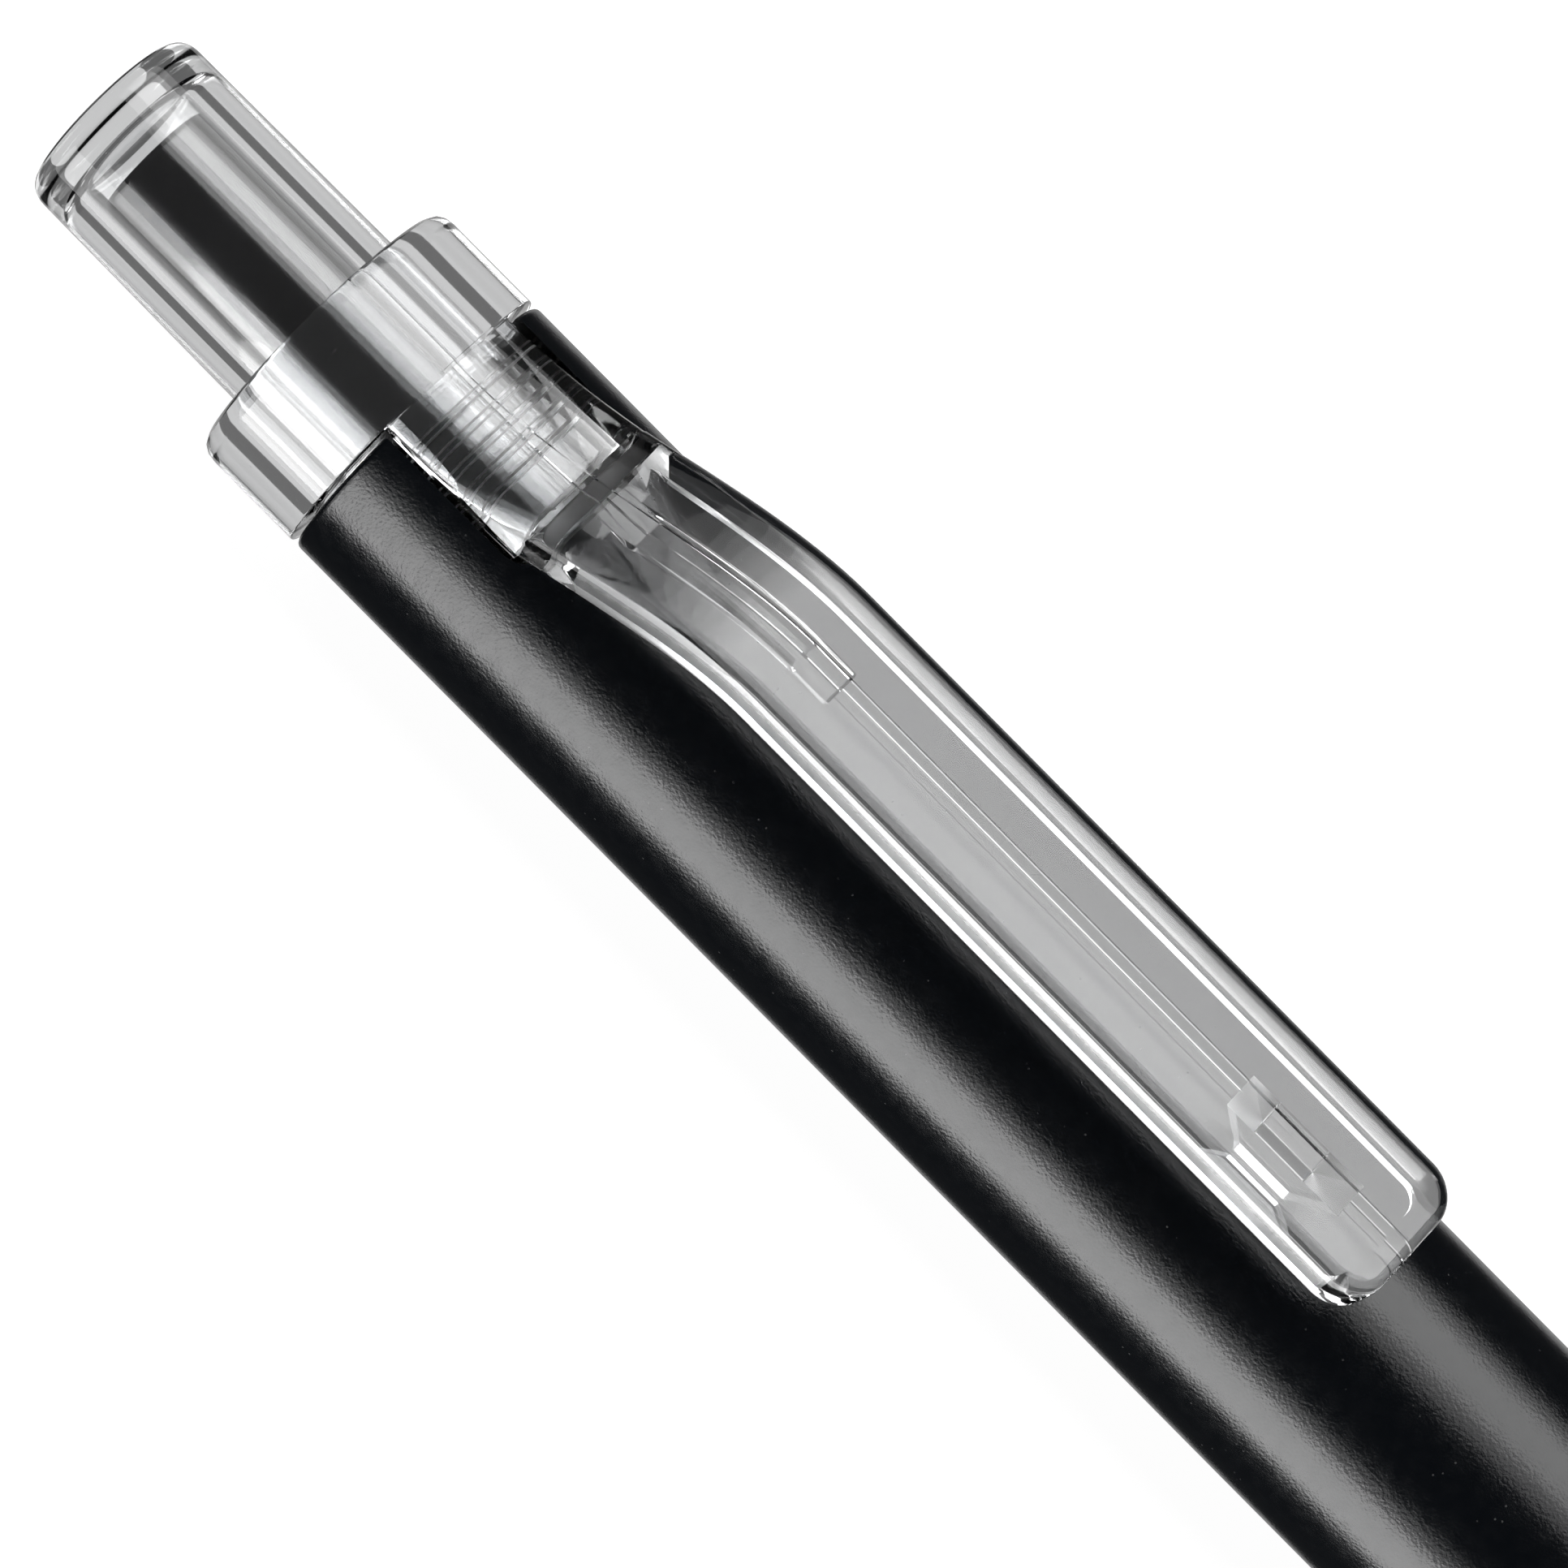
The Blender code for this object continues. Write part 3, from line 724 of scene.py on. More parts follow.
@dataclass(frozen=True)
class ClearPlastic(Finish):
    """Clear polished plastic that bends light."""

    index: float = 1.49
    rough: Point = (0.02, 0.06)  # lowest and highest
    depth: float = 0.00001  # of its waviness
    line: float = 2.0  # the parting line's height against the waviness
    frost_from: float = 1.0  # the X beyond which its hidden end is frosted

    def frost(self, shade: Shade, rough: Socket) -> Socket:
        """Raise the roughness beyond the X where the frosted end starts.

        Args:
            shade: The hand that lays nodes.
            rough: The polished roughness.

        Returns:
            The roughness of the whole piece.
        """
        edge = (self.frost_from, self.frost_from + 0.0001)
        return shade.spread(shade.part_of(shade.place(), "X"), edge, (rough, 0.55))

    def build(self) -> Material:
        """Make the material.

        Returns:
            The material.
        """
        made, shade, shader = self.start()
        fix(shader, IOR=self.index, Transmission_Weight=1.0)
        flow = MouldFlow().use(shade, Line_Height=self.line)
        specks = DustSpecks().use(shade, Scale=2600.0, Amount=0.35)
        hazy = shade.spread(flow.outputs["Haze"], (0.0, 1.0), self.rough)
        cloudy = shade.math("ADD", hazy, shade.math("MULTIPLY", specks.outputs["Mask"], 0.5))
        shade.link(self.frost(shade, cloudy), shader.inputs["Roughness"])
        self.raise_by(shade, shader, flow.outputs["Height"], self.depth)
        self.tint(shade, shader, specks.outputs["Mask"])
        return made


@dataclass(frozen=True)
class DrawnSteel(Finish):
    """Drawn spring wire with fine draw marks."""

    def build(self) -> Material:
        """Make the material.

        Returns:
            The material.
        """
        made, shade, shader = self.start()
        fix(shader, Metallic=1.0)
        grain = FineGrain().use(shade, Scale=9000.0, Low=0.2, High=0.4)
        shade.link(grain.outputs["Roughness"], shader.inputs["Roughness"])
        self.raise_by(shade, shader, grain.outputs["Height"], 0.000002)
        return made


@dataclass(frozen=True)
class SoakedFibre(Finish):
    """Pressed fibre that has soaked up ink, in strands along the pen."""

    strands: float = 9000.0

    def build(self) -> Material:
        """Make the material.

        Returns:
            The material.
        """
        made, shade, shader = self.start()
        strand = shade.noise(shade.drawn_out(shade.place(), 0.06), self.strands, 3.0)
        fix(shader, Roughness=0.85)
        self.raise_by(shade, shader, strand, 0.00003)
        self.tint(shade, shader, shade.spread(strand, (0.45, 0.8), (0.0, 0.8)))
        return made


BLACK_BARREL = GrainedPlastic(
    "barrel_black",
    (0.0012, 0.0017, 0.0025),
    scale=9000.0,
    depth=0.000009,
    rough=(0.18, 0.23),
    specular=0.42,
)
CLEAR_MOULDING = ClearPlastic("clear_moulding", (0.97, 0.975, 0.98))
TEXTURED_CLEAR = ClearPlastic("clear_textured", (0.97, 0.975, 0.98), rough=(0.35, 0.5), line=0.0)
CLEAR_BUTTON = ClearPlastic("clear_button", (0.96, 0.965, 0.97), line=0.0)
DARK_STEM = GrainedPlastic(
    "stem_dark",
    (0.004, 0.004, 0.0045),
    scale=2500.0,
    depth=0.000002,
    rough=(0.12, 0.2),
    specular=0.8,
)
DARK_REFILL = GrainedPlastic("refill_black", (0.012, 0.012, 0.013), rough=(0.3, 0.42))
WHITE_CAM = GrainedPlastic("cam_white", (0.78, 0.78, 0.76), (0.5, 0.5, 0.5), rough=(0.35, 0.5))
REFILL_TUBE = GrainedPlastic("refill_tube", (0.7, 0.72, 0.73), (0.5, 0.5, 0.5), rough=(0.25, 0.4))
SEAL_RUBBER = GrainedPlastic("seal_rubber", (0.014, 0.014, 0.014), rough=(0.6, 0.8))
SPRING_STEEL = DrawnSteel("spring_steel", (0.6, 0.6, 0.62))
TEST_INK = SoakedFibre("test_ink", (0.42, 0.2, 0.04), (0.6, 0.38, 0.14))
NIB_FIBRE = SoakedFibre("nib_fibre", (0.5, 0.34, 0.14), (0.25, 0.12, 0.03))


def dress(piece: Object, finish: Material, body: str, slot: str, *nodes: str) -> None:
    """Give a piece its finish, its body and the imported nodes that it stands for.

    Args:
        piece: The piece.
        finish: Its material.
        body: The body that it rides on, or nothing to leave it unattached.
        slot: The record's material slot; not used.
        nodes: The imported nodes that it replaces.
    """
    piece.data.materials.clear()
    piece.data.materials.append(finish)
    even = piece.modifiers.new("even_shading", "WEIGHTED_NORMAL")
    even.keep_sharp = True
    if body:
        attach(piece, body)
    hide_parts(*nodes)
    log.info("%s: %d faces, on %s", piece.name, len(piece.data.polygons), body or "two bodies")


@dataclass
class Barrel:
    """The black tube with the clip's notch in its top."""

    axis: PenAxis
    finish: Material
    wall: float = 0.0008
    notch_length: float = 0.0066
    notch_half: float = 0.0031
    notch_corner: float = 0.0015  # the radius of the notch's inner corners
    rim: float = 0.00022  # the rounding of the tube's ends
    seat_depth: float = 0.0014  # the seal's seat in the mouth
    seat_wall: float = 0.0004  # what is left outside the seat

    def tube(self) -> Object:
        """Turn the plain tube with its rounded ends and the seal's seat.

        Returns:
            The tube.
        """
        radius, length = self.axis.radius, self.axis.length
        bore = radius - self.wall
        seat = length - self.seat_depth
        seat_radius = radius - self.seat_wall
        corners = [
            (length / 2, radius, 0.0),
            (0.0, radius, self.rim),
            (0.0, bore, self.rim / 2),
            (seat, bore, 0.0),
            (seat, seat_radius, 0.0),
            (length, seat_radius, self.rim / 3),
            (length, radius, self.rim / 2),
            (length * 0.55, radius, 0.0),
        ]
        return finished(turned(self.axis, rounded(corners)), "barrel_tube")

    def notch(self) -> Object:
        """Make the solid that cuts the notch.

        Returns:
            The solid.
        """
        low = self.axis.point(-self.notch_length, -self.notch_half, self.axis.radius / 3)
        high = self.axis.point(self.notch_length, self.notch_half, self.axis.radius * 1.2)
        shape = block(low, high)
        round_edges(shape, upright_at(high.x), self.notch_corner, 12)
        return finished(shape, "notch_tool")

    def build(self) -> None:
        """Cut the notch, soften the edges and dress the barrel."""
        tube = combine(self.tube(), self.notch(), Join.CUT)
        edge = tube.modifiers.new("soft_edge", "BEVEL")
        edge.width = self.rim / 3
        edge.segments = 2
        edge.limit_method = "ANGLE"
        edge.angle_limit = math.radians(50)
        bake_modifiers(tube)
        settle(tube)
        dress(tube, self.finish, "pen_body", "barrel_black", "barrel")


@dataclass
class ClearClip:
    """The one clear moulding of collar, ribbed plug and channel-shaped clip."""

    axis: PenAxis
    finish: Material
    textured: Material  # where the mould is finely textured
    collar_length: float = 0.0042
    collar_round: float = 0.0007
    seam: float = 0.0002  # between the collar and the barrel's rim
    bore: float = 0.00365  # what the button slides in
    plug_radius: float = 0.0043
    plug_length: float = 0.0054
    rib_depth: float = 0.00016
    rib_pitch: float = 0.000735
    rib_count: int = 5
    rib_width: float = 0.00032
    rib_flank: float = 0.00008
    rib_first: float = 0.00079
    root_end: float = 0.0064  # where the root leaves the barrel
    root_half: float = 0.00282
    half_width: float = 0.00278  # where the clip is level
    tip: float = 0.0402
    depth: float = 0.00175  # of the side walls
    plate: float = 0.00135
    side_wall: float = 0.0009
    height: float = 0.009259  # of the level outer face above the axis
    rise_end: float = 0.0142  # where the outer face becomes level
    corner: float = 0.0014  # the tip's corners in plan
    edge: float = 0.00065  # the outer face's edge
    rest_gap: float = 0.0003  # between the foot and the barrel
    rib_half: float = 0.0007
    rib_end: float = 0.0157
    rib_slant: float = 0.0002  # the slope at the middle rib's end
    foot: tuple[float, float] = (0.0327, 0.038)  # where the foot starts and ends
    foot_half: float = 0.00073
    foot_lift: float = 0.00005  # keeps its end flat
    foot_taper: Point = (0.415, 0.6)  # its end's length and width against its root's
    foot_room: float = 0.0004  # how far the foot and the rib reach into the plate
    gap: float = 0.00006  # over the plug's ribs
    hinge: float = 0.0055  # the station about which the clip flexes
    flex_half: float = 0.0012  # half the length that bends
    crease: float = 28.0

    def edge_height(self, station: float) -> float:
        """Return the height of the outer face's edge above the axis at a station."""
        low = math.sqrt(self.axis.radius**2 - self.root_half**2)
        return low + (self.height - low) * ease(station / self.rise_end)

    def crown(self, station: float, across: float) -> float:
        """Return how far the outer face stands above its edge, most at the round root.

        Args:
            station: The station.
            across: The sideways distance.

        Returns:
            The height above the edge.
        """
        round_share = 1.0 - ease((station + 0.002) / 0.014)
        radius = self.axis.radius - 0.00001
        half = self.root_half
        inside = min(abs(across), half)
        bulge = math.sqrt(radius**2 - inside**2) - math.sqrt(radius**2 - half**2)
        return round_share * bulge

    def half_at(self, station: float) -> float:
        """Return half the clip's width at a station."""
        share = ease((station - self.root_end) / (self.rise_end - self.root_end))
        return self.root_half + (self.half_width - self.root_half) * share

    def underside(self, station: float) -> float:
        """Return the height of the lowest face at a station, deep at the root.

        Args:
            station: The station.

        Returns:
            The height above the axis.
        """
        if station < self.plug_length + FINE:
            return self.plug_radius - 0.0003
        return self.edge_height(station) - self.depth

    def collar(self) -> Object:
        """Turn the collar with its plug and the plug's ribs.

        Returns:
            The collar.
        """
        top = -(self.collar_length + self.seam)
        radius = self.axis.radius
        corners = [
            (-self.collar_length * 0.6, self.bore, 0.0),
            (top, self.bore, SOFT),
            (top, radius, self.collar_round),
            (-self.seam, radius, 0.00006),
            (-self.seam, self.plug_radius, FINE),
        ]
        for index in range(self.rib_count):
            start = self.rib_first + index * self.rib_pitch
            end = start + self.rib_width
            peak = self.plug_radius + self.rib_depth
            corners += [
                (start, self.plug_radius, 0.0),
                (start + self.rib_flank, peak, 0.00003),
                (end - self.rib_flank, peak, 0.00003),
                (end, self.plug_radius, 0.0),
            ]
        corners += [
            (self.plug_length, self.plug_radius, 0.00015),
            (self.plug_length, self.bore, FINE),
            (0.0, self.bore, 0.0),
        ]
        return finished(turned(self.axis, rounded(corners)), "clear_clip")

    def follow(self, shape: Mesh, top: float, low: float, drop: float, full: bool) -> None:
        """Bend a straight box along the clip's rise.

        Args:
            shape: The box, whose heights run from low to top.
            top: The height of the box's top.
            low: The height of the box's bottom.
            drop: How far below the outer face the box's top ends up.
            full: Whether the box is the clip itself, which is crowned and has a deep root.
        """
        for vert in shape.verts:
            station = self.axis.station(vert.co.x)
            share = (vert.co.z - low) / (top - low)
            wide = self.half_at(station) - (self.root_half if full else self.half_width)
            side = math.copysign(1.0, vert.co.y) if abs(vert.co.y) > WELD else 0.0
            reach = abs(vert.co.y) / self.half_width
            vert.co.y += side * wide * min(1.0, reach)
            ceiling = self.edge_height(station) - drop
            if full:
                ceiling += self.crown(station, vert.co.y)
            floor = self.underside(station) if full else ceiling - (top - low)
            vert.co.z = self.axis.height + floor + (ceiling - floor) * share

    def bent_box(
        self, start: float, end: float, half: float, thick: float, drop: float, full: bool
    ) -> Mesh:
        """Make a box with a rounded outline that follows the clip's rise.

        Args:
            start: Its first station.
            end: Its last station.
            half: Half its width before it follows the clip.
            thick: Its thickness.
            drop: How far below the outer face its top lies.
            full: Whether it is the clip itself.

        Returns:
            The bent box.
        """
        low = self.axis.point(start, -half, 0.0)
        high = self.axis.point(end, half, thick)
        shape = block(low, high)
        if full:
            round_edges(shape, upright_at(high.x), self.corner, 12)
            round_edges(shape, rim_of(True, low.x), self.edge, 5)
            round_edges(shape, rim_of(False, low.x), self.edge * 0.3, 3)
        else:
            round_edges(shape, upright_at(high.x), self.corner * 0.45, 8)
            round_edges(shape, upright_at(low.x), self.corner * 0.3, 6)
        stations = spaced(max(start, 0.0) + FINE, self.rise_end, 44)
        stations += spaced(self.rise_end + 0.0003, self.tip - self.corner, 60)
        stations += [self.plug_length + 0.00009, self.plug_length + 0.00013]
        cuts = [self.axis.point(station) for station in stations if start < station < end]
        slice_along(shape, cuts)
        sides = [self.axis.point(0.0, across) for across in spaced(-half * 0.8, half * 0.8, 11)]
        slice_along(shape, sides, Vector((0.0, 1.0, 0.0)))
        self.follow(shape, high.z, low.z, drop, full)
        return shape

    def arm(self) -> Object:
        """Make the clip's solid outside form, from inside the collar to its tip.

        Returns:
            The form.
        """
        start = -self.seam - 0.0003
        shape = self.bent_box(start, self.tip, self.root_half, self.depth, 0.0, True)
        return finished(shape, "arm_tool")

    def channel(self) -> Object:
        """Make the hollow between the side walls, under the plate.

        Returns:
            The solid that cuts it.
        """
        shape = self.bent_box(
            self.root_end + 0.00015,
            self.tip - self.side_wall,
            self.half_width - self.side_wall,
            self.depth * 1.6,
            self.plate,
            False,
        )
        return finished(shape, "channel_tool")

    def middle_rib(self) -> Object:
        """Make the rib that runs down the channel's middle from the root.

        Returns:
            The rib.
        """
        thick = self.depth - self.plate + self.foot_room
        low = self.axis.point(self.root_end - 0.0004, -self.rib_half, 0.0)
        high = self.axis.point(self.rib_end, self.rib_half, thick)
        shape = block(low, high)
        for vert in shape.verts:
            if vert.co.x > high.x - WELD and vert.co.z < low.z + WELD:
                vert.co.x -= self.rib_slant
        round_edges(shape, rim_of(False, low.x), 0.0001, 2)
        cuts = [self.axis.point(spot) for spot in spaced(self.root_end, self.rise_end, 30)]
        slice_along(shape, cuts)
        for vert in shape.verts:
            station = self.axis.station(vert.co.x)
            vert.co.z += self.edge_height(station) - self.depth
        return finished(shape, "rib_tool")

    def foot_block(self) -> Object:
        """Make the tapered foot that nearly touches the barrel.

        Returns:
            The foot.
        """
        start, end = self.foot
        top = self.height - self.plate + self.foot_room
        low = self.axis.radius + self.rest_gap + self.foot_lift
        shape = block(
            self.axis.point(start, -self.foot_half, low), self.axis.point(end, self.foot_half, top)
        )
        floor = self.axis.height + low
        middle = (start + end) / 2
        for vert in shape.verts:
            if vert.co.z < floor + WELD:
                offset = self.axis.station(vert.co.x) - middle
                vert.co.x = self.axis.start + middle + offset * self.foot_taper[0]
                vert.co.y *= self.foot_taper[1]
        round_edges(shape, lambda edge: all(v.co.z < floor + 0.001 for v in edge.verts), 0.00005, 2)
        return finished(shape, "foot_tool")

    def parting_ridge(self) -> Object:
        """Make the fine ridge left by the mould under the plate.

        Returns:
            The ridge.
        """
        half = 0.00004
        low = self.axis.point(self.rib_end - 0.0006, -half, self.height - self.plate - 0.00005)
        high = self.axis.point(self.foot[0] + 0.0008, half, self.height - self.plate + FINE)
        return finished(block(low, high), "ridge_tool")

    def plug_gap(self) -> Object:
        """Make the thin round gap between the root and the plug's ribs."""
        radius = self.plug_radius + self.rib_depth + self.gap
        return drum(self.axis, -self.seam * 0.8, self.plug_length + 0.00015, radius, "gap_tool")

    def room(self) -> Object:
        """Make the round clearance over the barrel."""
        radius = self.axis.radius + self.rest_gap
        return drum(self.axis, self.root_end - 0.00002, self.tip + 0.001, radius, "room_tool")

    def is_matt(self, face: bpy.types.MeshPolygon) -> bool:
        """Tell whether a face is one that the mould leaves finely textured.

        Args:
            face: A face of the moulding.

        Returns:
            True on the plug's rib flanks, the channel's inner sides and the foot's slopes.
        """
        station = self.axis.station(face.center.x)
        up = face.center.z - self.axis.height
        side = abs(face.center.y)
        stand = (math.hypot(side, up) - self.plug_radius) / self.rib_depth
        last = self.rib_first + self.rib_count * self.rib_pitch
        flank = 0.1 < stand < 0.95 and self.rib_first < station < last
        inside = self.rib_half * 1.5 < side < self.half_width - self.side_wall * 0.9
        wall = abs(face.normal.y) > 0.9 and inside and station > self.root_end + 0.001
        under = up < self.height - self.plate - 0.0001
        slope = 0.3 < abs(face.normal.x) < 0.95 and self.foot[0] < station < self.foot[1]
        return flank or wall or (slope and under)

    def build(self) -> None:
        """Join the collar and the arm, and dress them as one moulding."""
        arm = combine(self.arm(), self.channel(), Join.CUT)
        for tool in (self.middle_rib(), self.foot_block(), self.parting_ridge()):
            combine(arm, tool, Join.ADD)
        combine(arm, self.room(), Join.CUT)
        combine(arm, self.plug_gap(), Join.CUT)
        clip = combine(self.collar(), arm, Join.ADD)
        settle(clip, self.crease)
        bend = [self.axis.point(self.hinge + side * self.flex_half) for side in (-1, 1)]
        dress(clip, self.finish, "", "clear_plastic", "clip_collar", "clip_arm")
        clip.data.materials.append(self.textured)
        for face in clip.data.polygons:
            face.material_index = int(self.is_matt(face))
        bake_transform(clip)


def cross_bars(axis: PenAxis, count: int, width: float, span: Point, reach: float) -> Object:
    """Make flat bars through the axis, evenly turned.

    Args:
        axis: The pen's axis.
        count: How many bars.
        width: Their width.
        span: Their first and last station.
        reach: How far they reach from the axis.

    Returns:
        The bars joined into one object.
    """
    bars = None
    for index in range(count):
        low = axis.point(span[0], -width / 2, -reach)
        shape = block(low, axis.point(span[1], width / 2, reach))
        turn = Matrix.Rotation(math.pi * index / count, 3, "X")
        bmesh.ops.rotate(shape, verts=shape.verts, cent=axis.point(0.0), matrix=turn)
        bar = finished(shape, f"bar_tool_{index}")
        bars = combine(bars, bar, Join.ADD) if bars else bar
    return bars


@dataclass
class PushButton:
    """The clear push button and the dark stem of the cam rotor inside it."""

    axis: PenAxis
    clear: ClearPlastic
    dark: GrainedPlastic
    collar_top: float = -0.0044
    reach: float = 0.00985  # how far the button stands out of the collar
    radius: float = 0.00355
    end_radius: float = 0.00348  # at its slightly narrower end
    end_wall: float = 0.0013
    dome: float = 0.0001
    corner: float = 0.0008
    bore: float = 0.0023
    flange_start: float = 0.0057  # the stop flange inside the collar
    flange: float = 0.001
    flange_depth: float = 0.00065
    crown: float = 0.0013  # the toothed end
    stem: float = 0.0022
    stem_gap: float = 0.0011  # between the stem and the button's end
    rotor: float = 0.0034
    rotor_length: float = 0.0039
    teeth: int = 4
    notch: Point = (0.001, 0.0009)  # between the teeth, its width and depth

    def build_button(self) -> None:
        """Turn the clear button, notch its toothed end and frost what the collar hides."""
        top = self.collar_top - self.reach
        inner = top + self.end_wall
        flange_end = self.flange_start + self.flange
        end = flange_end + self.crown
        corners = [
            (top, 0.0, 0.0),
            (top + self.dome * 0.3, self.end_radius * 0.5, 0.0008),
            (top + self.dome, self.end_radius, self.corner),
            (self.collar_top, self.radius, 0.001),
            (self.flange_start, self.radius, FINE),
            (self.flange_start, self.radius + self.flange_depth, FINE),
            (flange_end, self.radius + self.flange_depth, FINE),
            (flange_end, self.radius, FINE),
            (end, self.radius, FINE),
            (end, self.bore, FINE),
            (inner, self.bore, 0.0006),
            (inner, 0.0, 0.0),
        ]
        button = finished(turned(self.axis, rounded(corners, 10)), "push_button_clear")
        width, depth = self.notch
        notches = cross_bars(self.axis, self.teeth, width, (end - depth, end + CLEAR), BAR_REACH)
        combine(button, notches, Join.CUT)
        settle(button)
        clear = replace(self.clear, frost_from=self.axis.start + self.flange_start - FINE)
        dress(button, clear.build(), "button", "clear_plastic", "push_button")

    def build_rotor(self) -> None:
        """Turn the dark stem with the rotor below it, and rib the rotor."""
        top = self.collar_top - self.reach + self.end_wall + self.stem_gap
        start = self.flange_start + self.flange + self.crown + 0.0003
        end = start + self.rotor_length
        corners = [
            (top, 0.0, 0.0),
            (top, self.stem, 0.0003),
            (start, self.stem, 0.0003),
            (start, self.rotor, SOFT),
            (end, self.rotor, SOFT),
            (end, 0.0, 0.0),
        ]
        rotor = finished(turned(self.axis, rounded(corners), MIDDLE_STEPS), "cam_rotor_stem")
        span = start + 0.0006, end - 0.0006
        combine(rotor, cross_bars(self.axis, 2, 0.0009, span, self.rotor + 0.0004), Join.ADD)
        settle(rotor)
        dress(rotor, self.dark.build(), "rotor", "gloss_black", "cam_rotor")


@dataclass
class Nose:
    """The screw-in nose cone and its seal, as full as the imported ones."""

    axis: PenAxis
    finish: Material
    rubber: Material
    length: float = 0.0228
    seam: float = 0.0002
    tip_radius: float = 0.0019
    fullness: float = 1.6  # how late the cone tapers
    spigot: float = 0.0076
    spigot_radius: float = 0.0043
    thread_depth: float = 0.00016
    thread_pitch: float = 0.00125
    thread_turns: int = 4
    bores: tuple[float, float, float] = (0.0032, 0.0019, 0.0013)  # wide, neck and tip
    steps: tuple[float, float] = (0.1121, 0.121)  # where the bores change

    def skin(self) -> list[Corner]:
        """List the cone's outside from the barrel to its tip.

        Returns:
            The outline's corners.
        """
        base = self.axis.length + self.seam
        points: list[Corner] = [(base, self.axis.radius - 0.00012, 0.0)]
        for share in spaced(0.0, 1.0, 40)[1:]:
            fall = (self.axis.radius - self.tip_radius) * share**self.fullness
            points.append((base + self.length * share, self.axis.radius - fall, 0.0))
        tip = points.pop()
        points.append((tip[0], tip[1], 0.00025))
        return points

    def build_cone(self) -> None:
        """Turn the nose cone with its threaded spigot and stepped bore."""
        start = self.axis.length - self.spigot
        end = self.axis.length + self.seam + self.length
        corners: list[Corner] = [(start, self.spigot_radius, 0.0)]
        for index in range(self.thread_turns):
            ridge = start + 0.0008 + index * self.thread_pitch
            corners += [
                (ridge, self.spigot_radius, 0.00005),
                (ridge + 0.00025, self.spigot_radius + self.thread_depth, FINE),
                (ridge + 0.0005, self.spigot_radius, 0.00005),
            ]
        corners += [(self.axis.length + self.seam, self.spigot_radius, 0.0)]
        corners += self.skin()
        wide, neck, tip = self.bores
        corners += [
            (end, tip, FINE),
            (self.steps[1], tip, FINE),
            (self.steps[1], neck, FINE),
            (self.steps[0], neck, FINE),
            (self.steps[0], wide, FINE),
            (start, wide, 0.0),
        ]
        cone = finished(turned(self.axis, rounded(corners), 128), "nose_cone_black")
        dress(cone, self.finish, "nose", "barrel_black", "nose_cone")

    def build_seal(self) -> None:
        """Turn the round rubber ring in the barrel's mouth."""
        low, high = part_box("nose_seal")
        outer = (high.y - low.y) / 2
        inner = self.spigot_radius + 0.00012
        half = (outer - inner) / 2
        middle = self.axis.station((low.x + high.x) / 2)
        outline = []
        for index in range(RING_POINTS):
            angle = math.tau * index / RING_POINTS
            outline.append((middle + half * math.cos(angle), inner + half + half * math.sin(angle)))
        ring = finished(turned(self.axis, outline, MIDDLE_STEPS), "seal_ring")
        dress(ring, self.rubber, "nose_ring", "seal_rubber", "nose_seal")


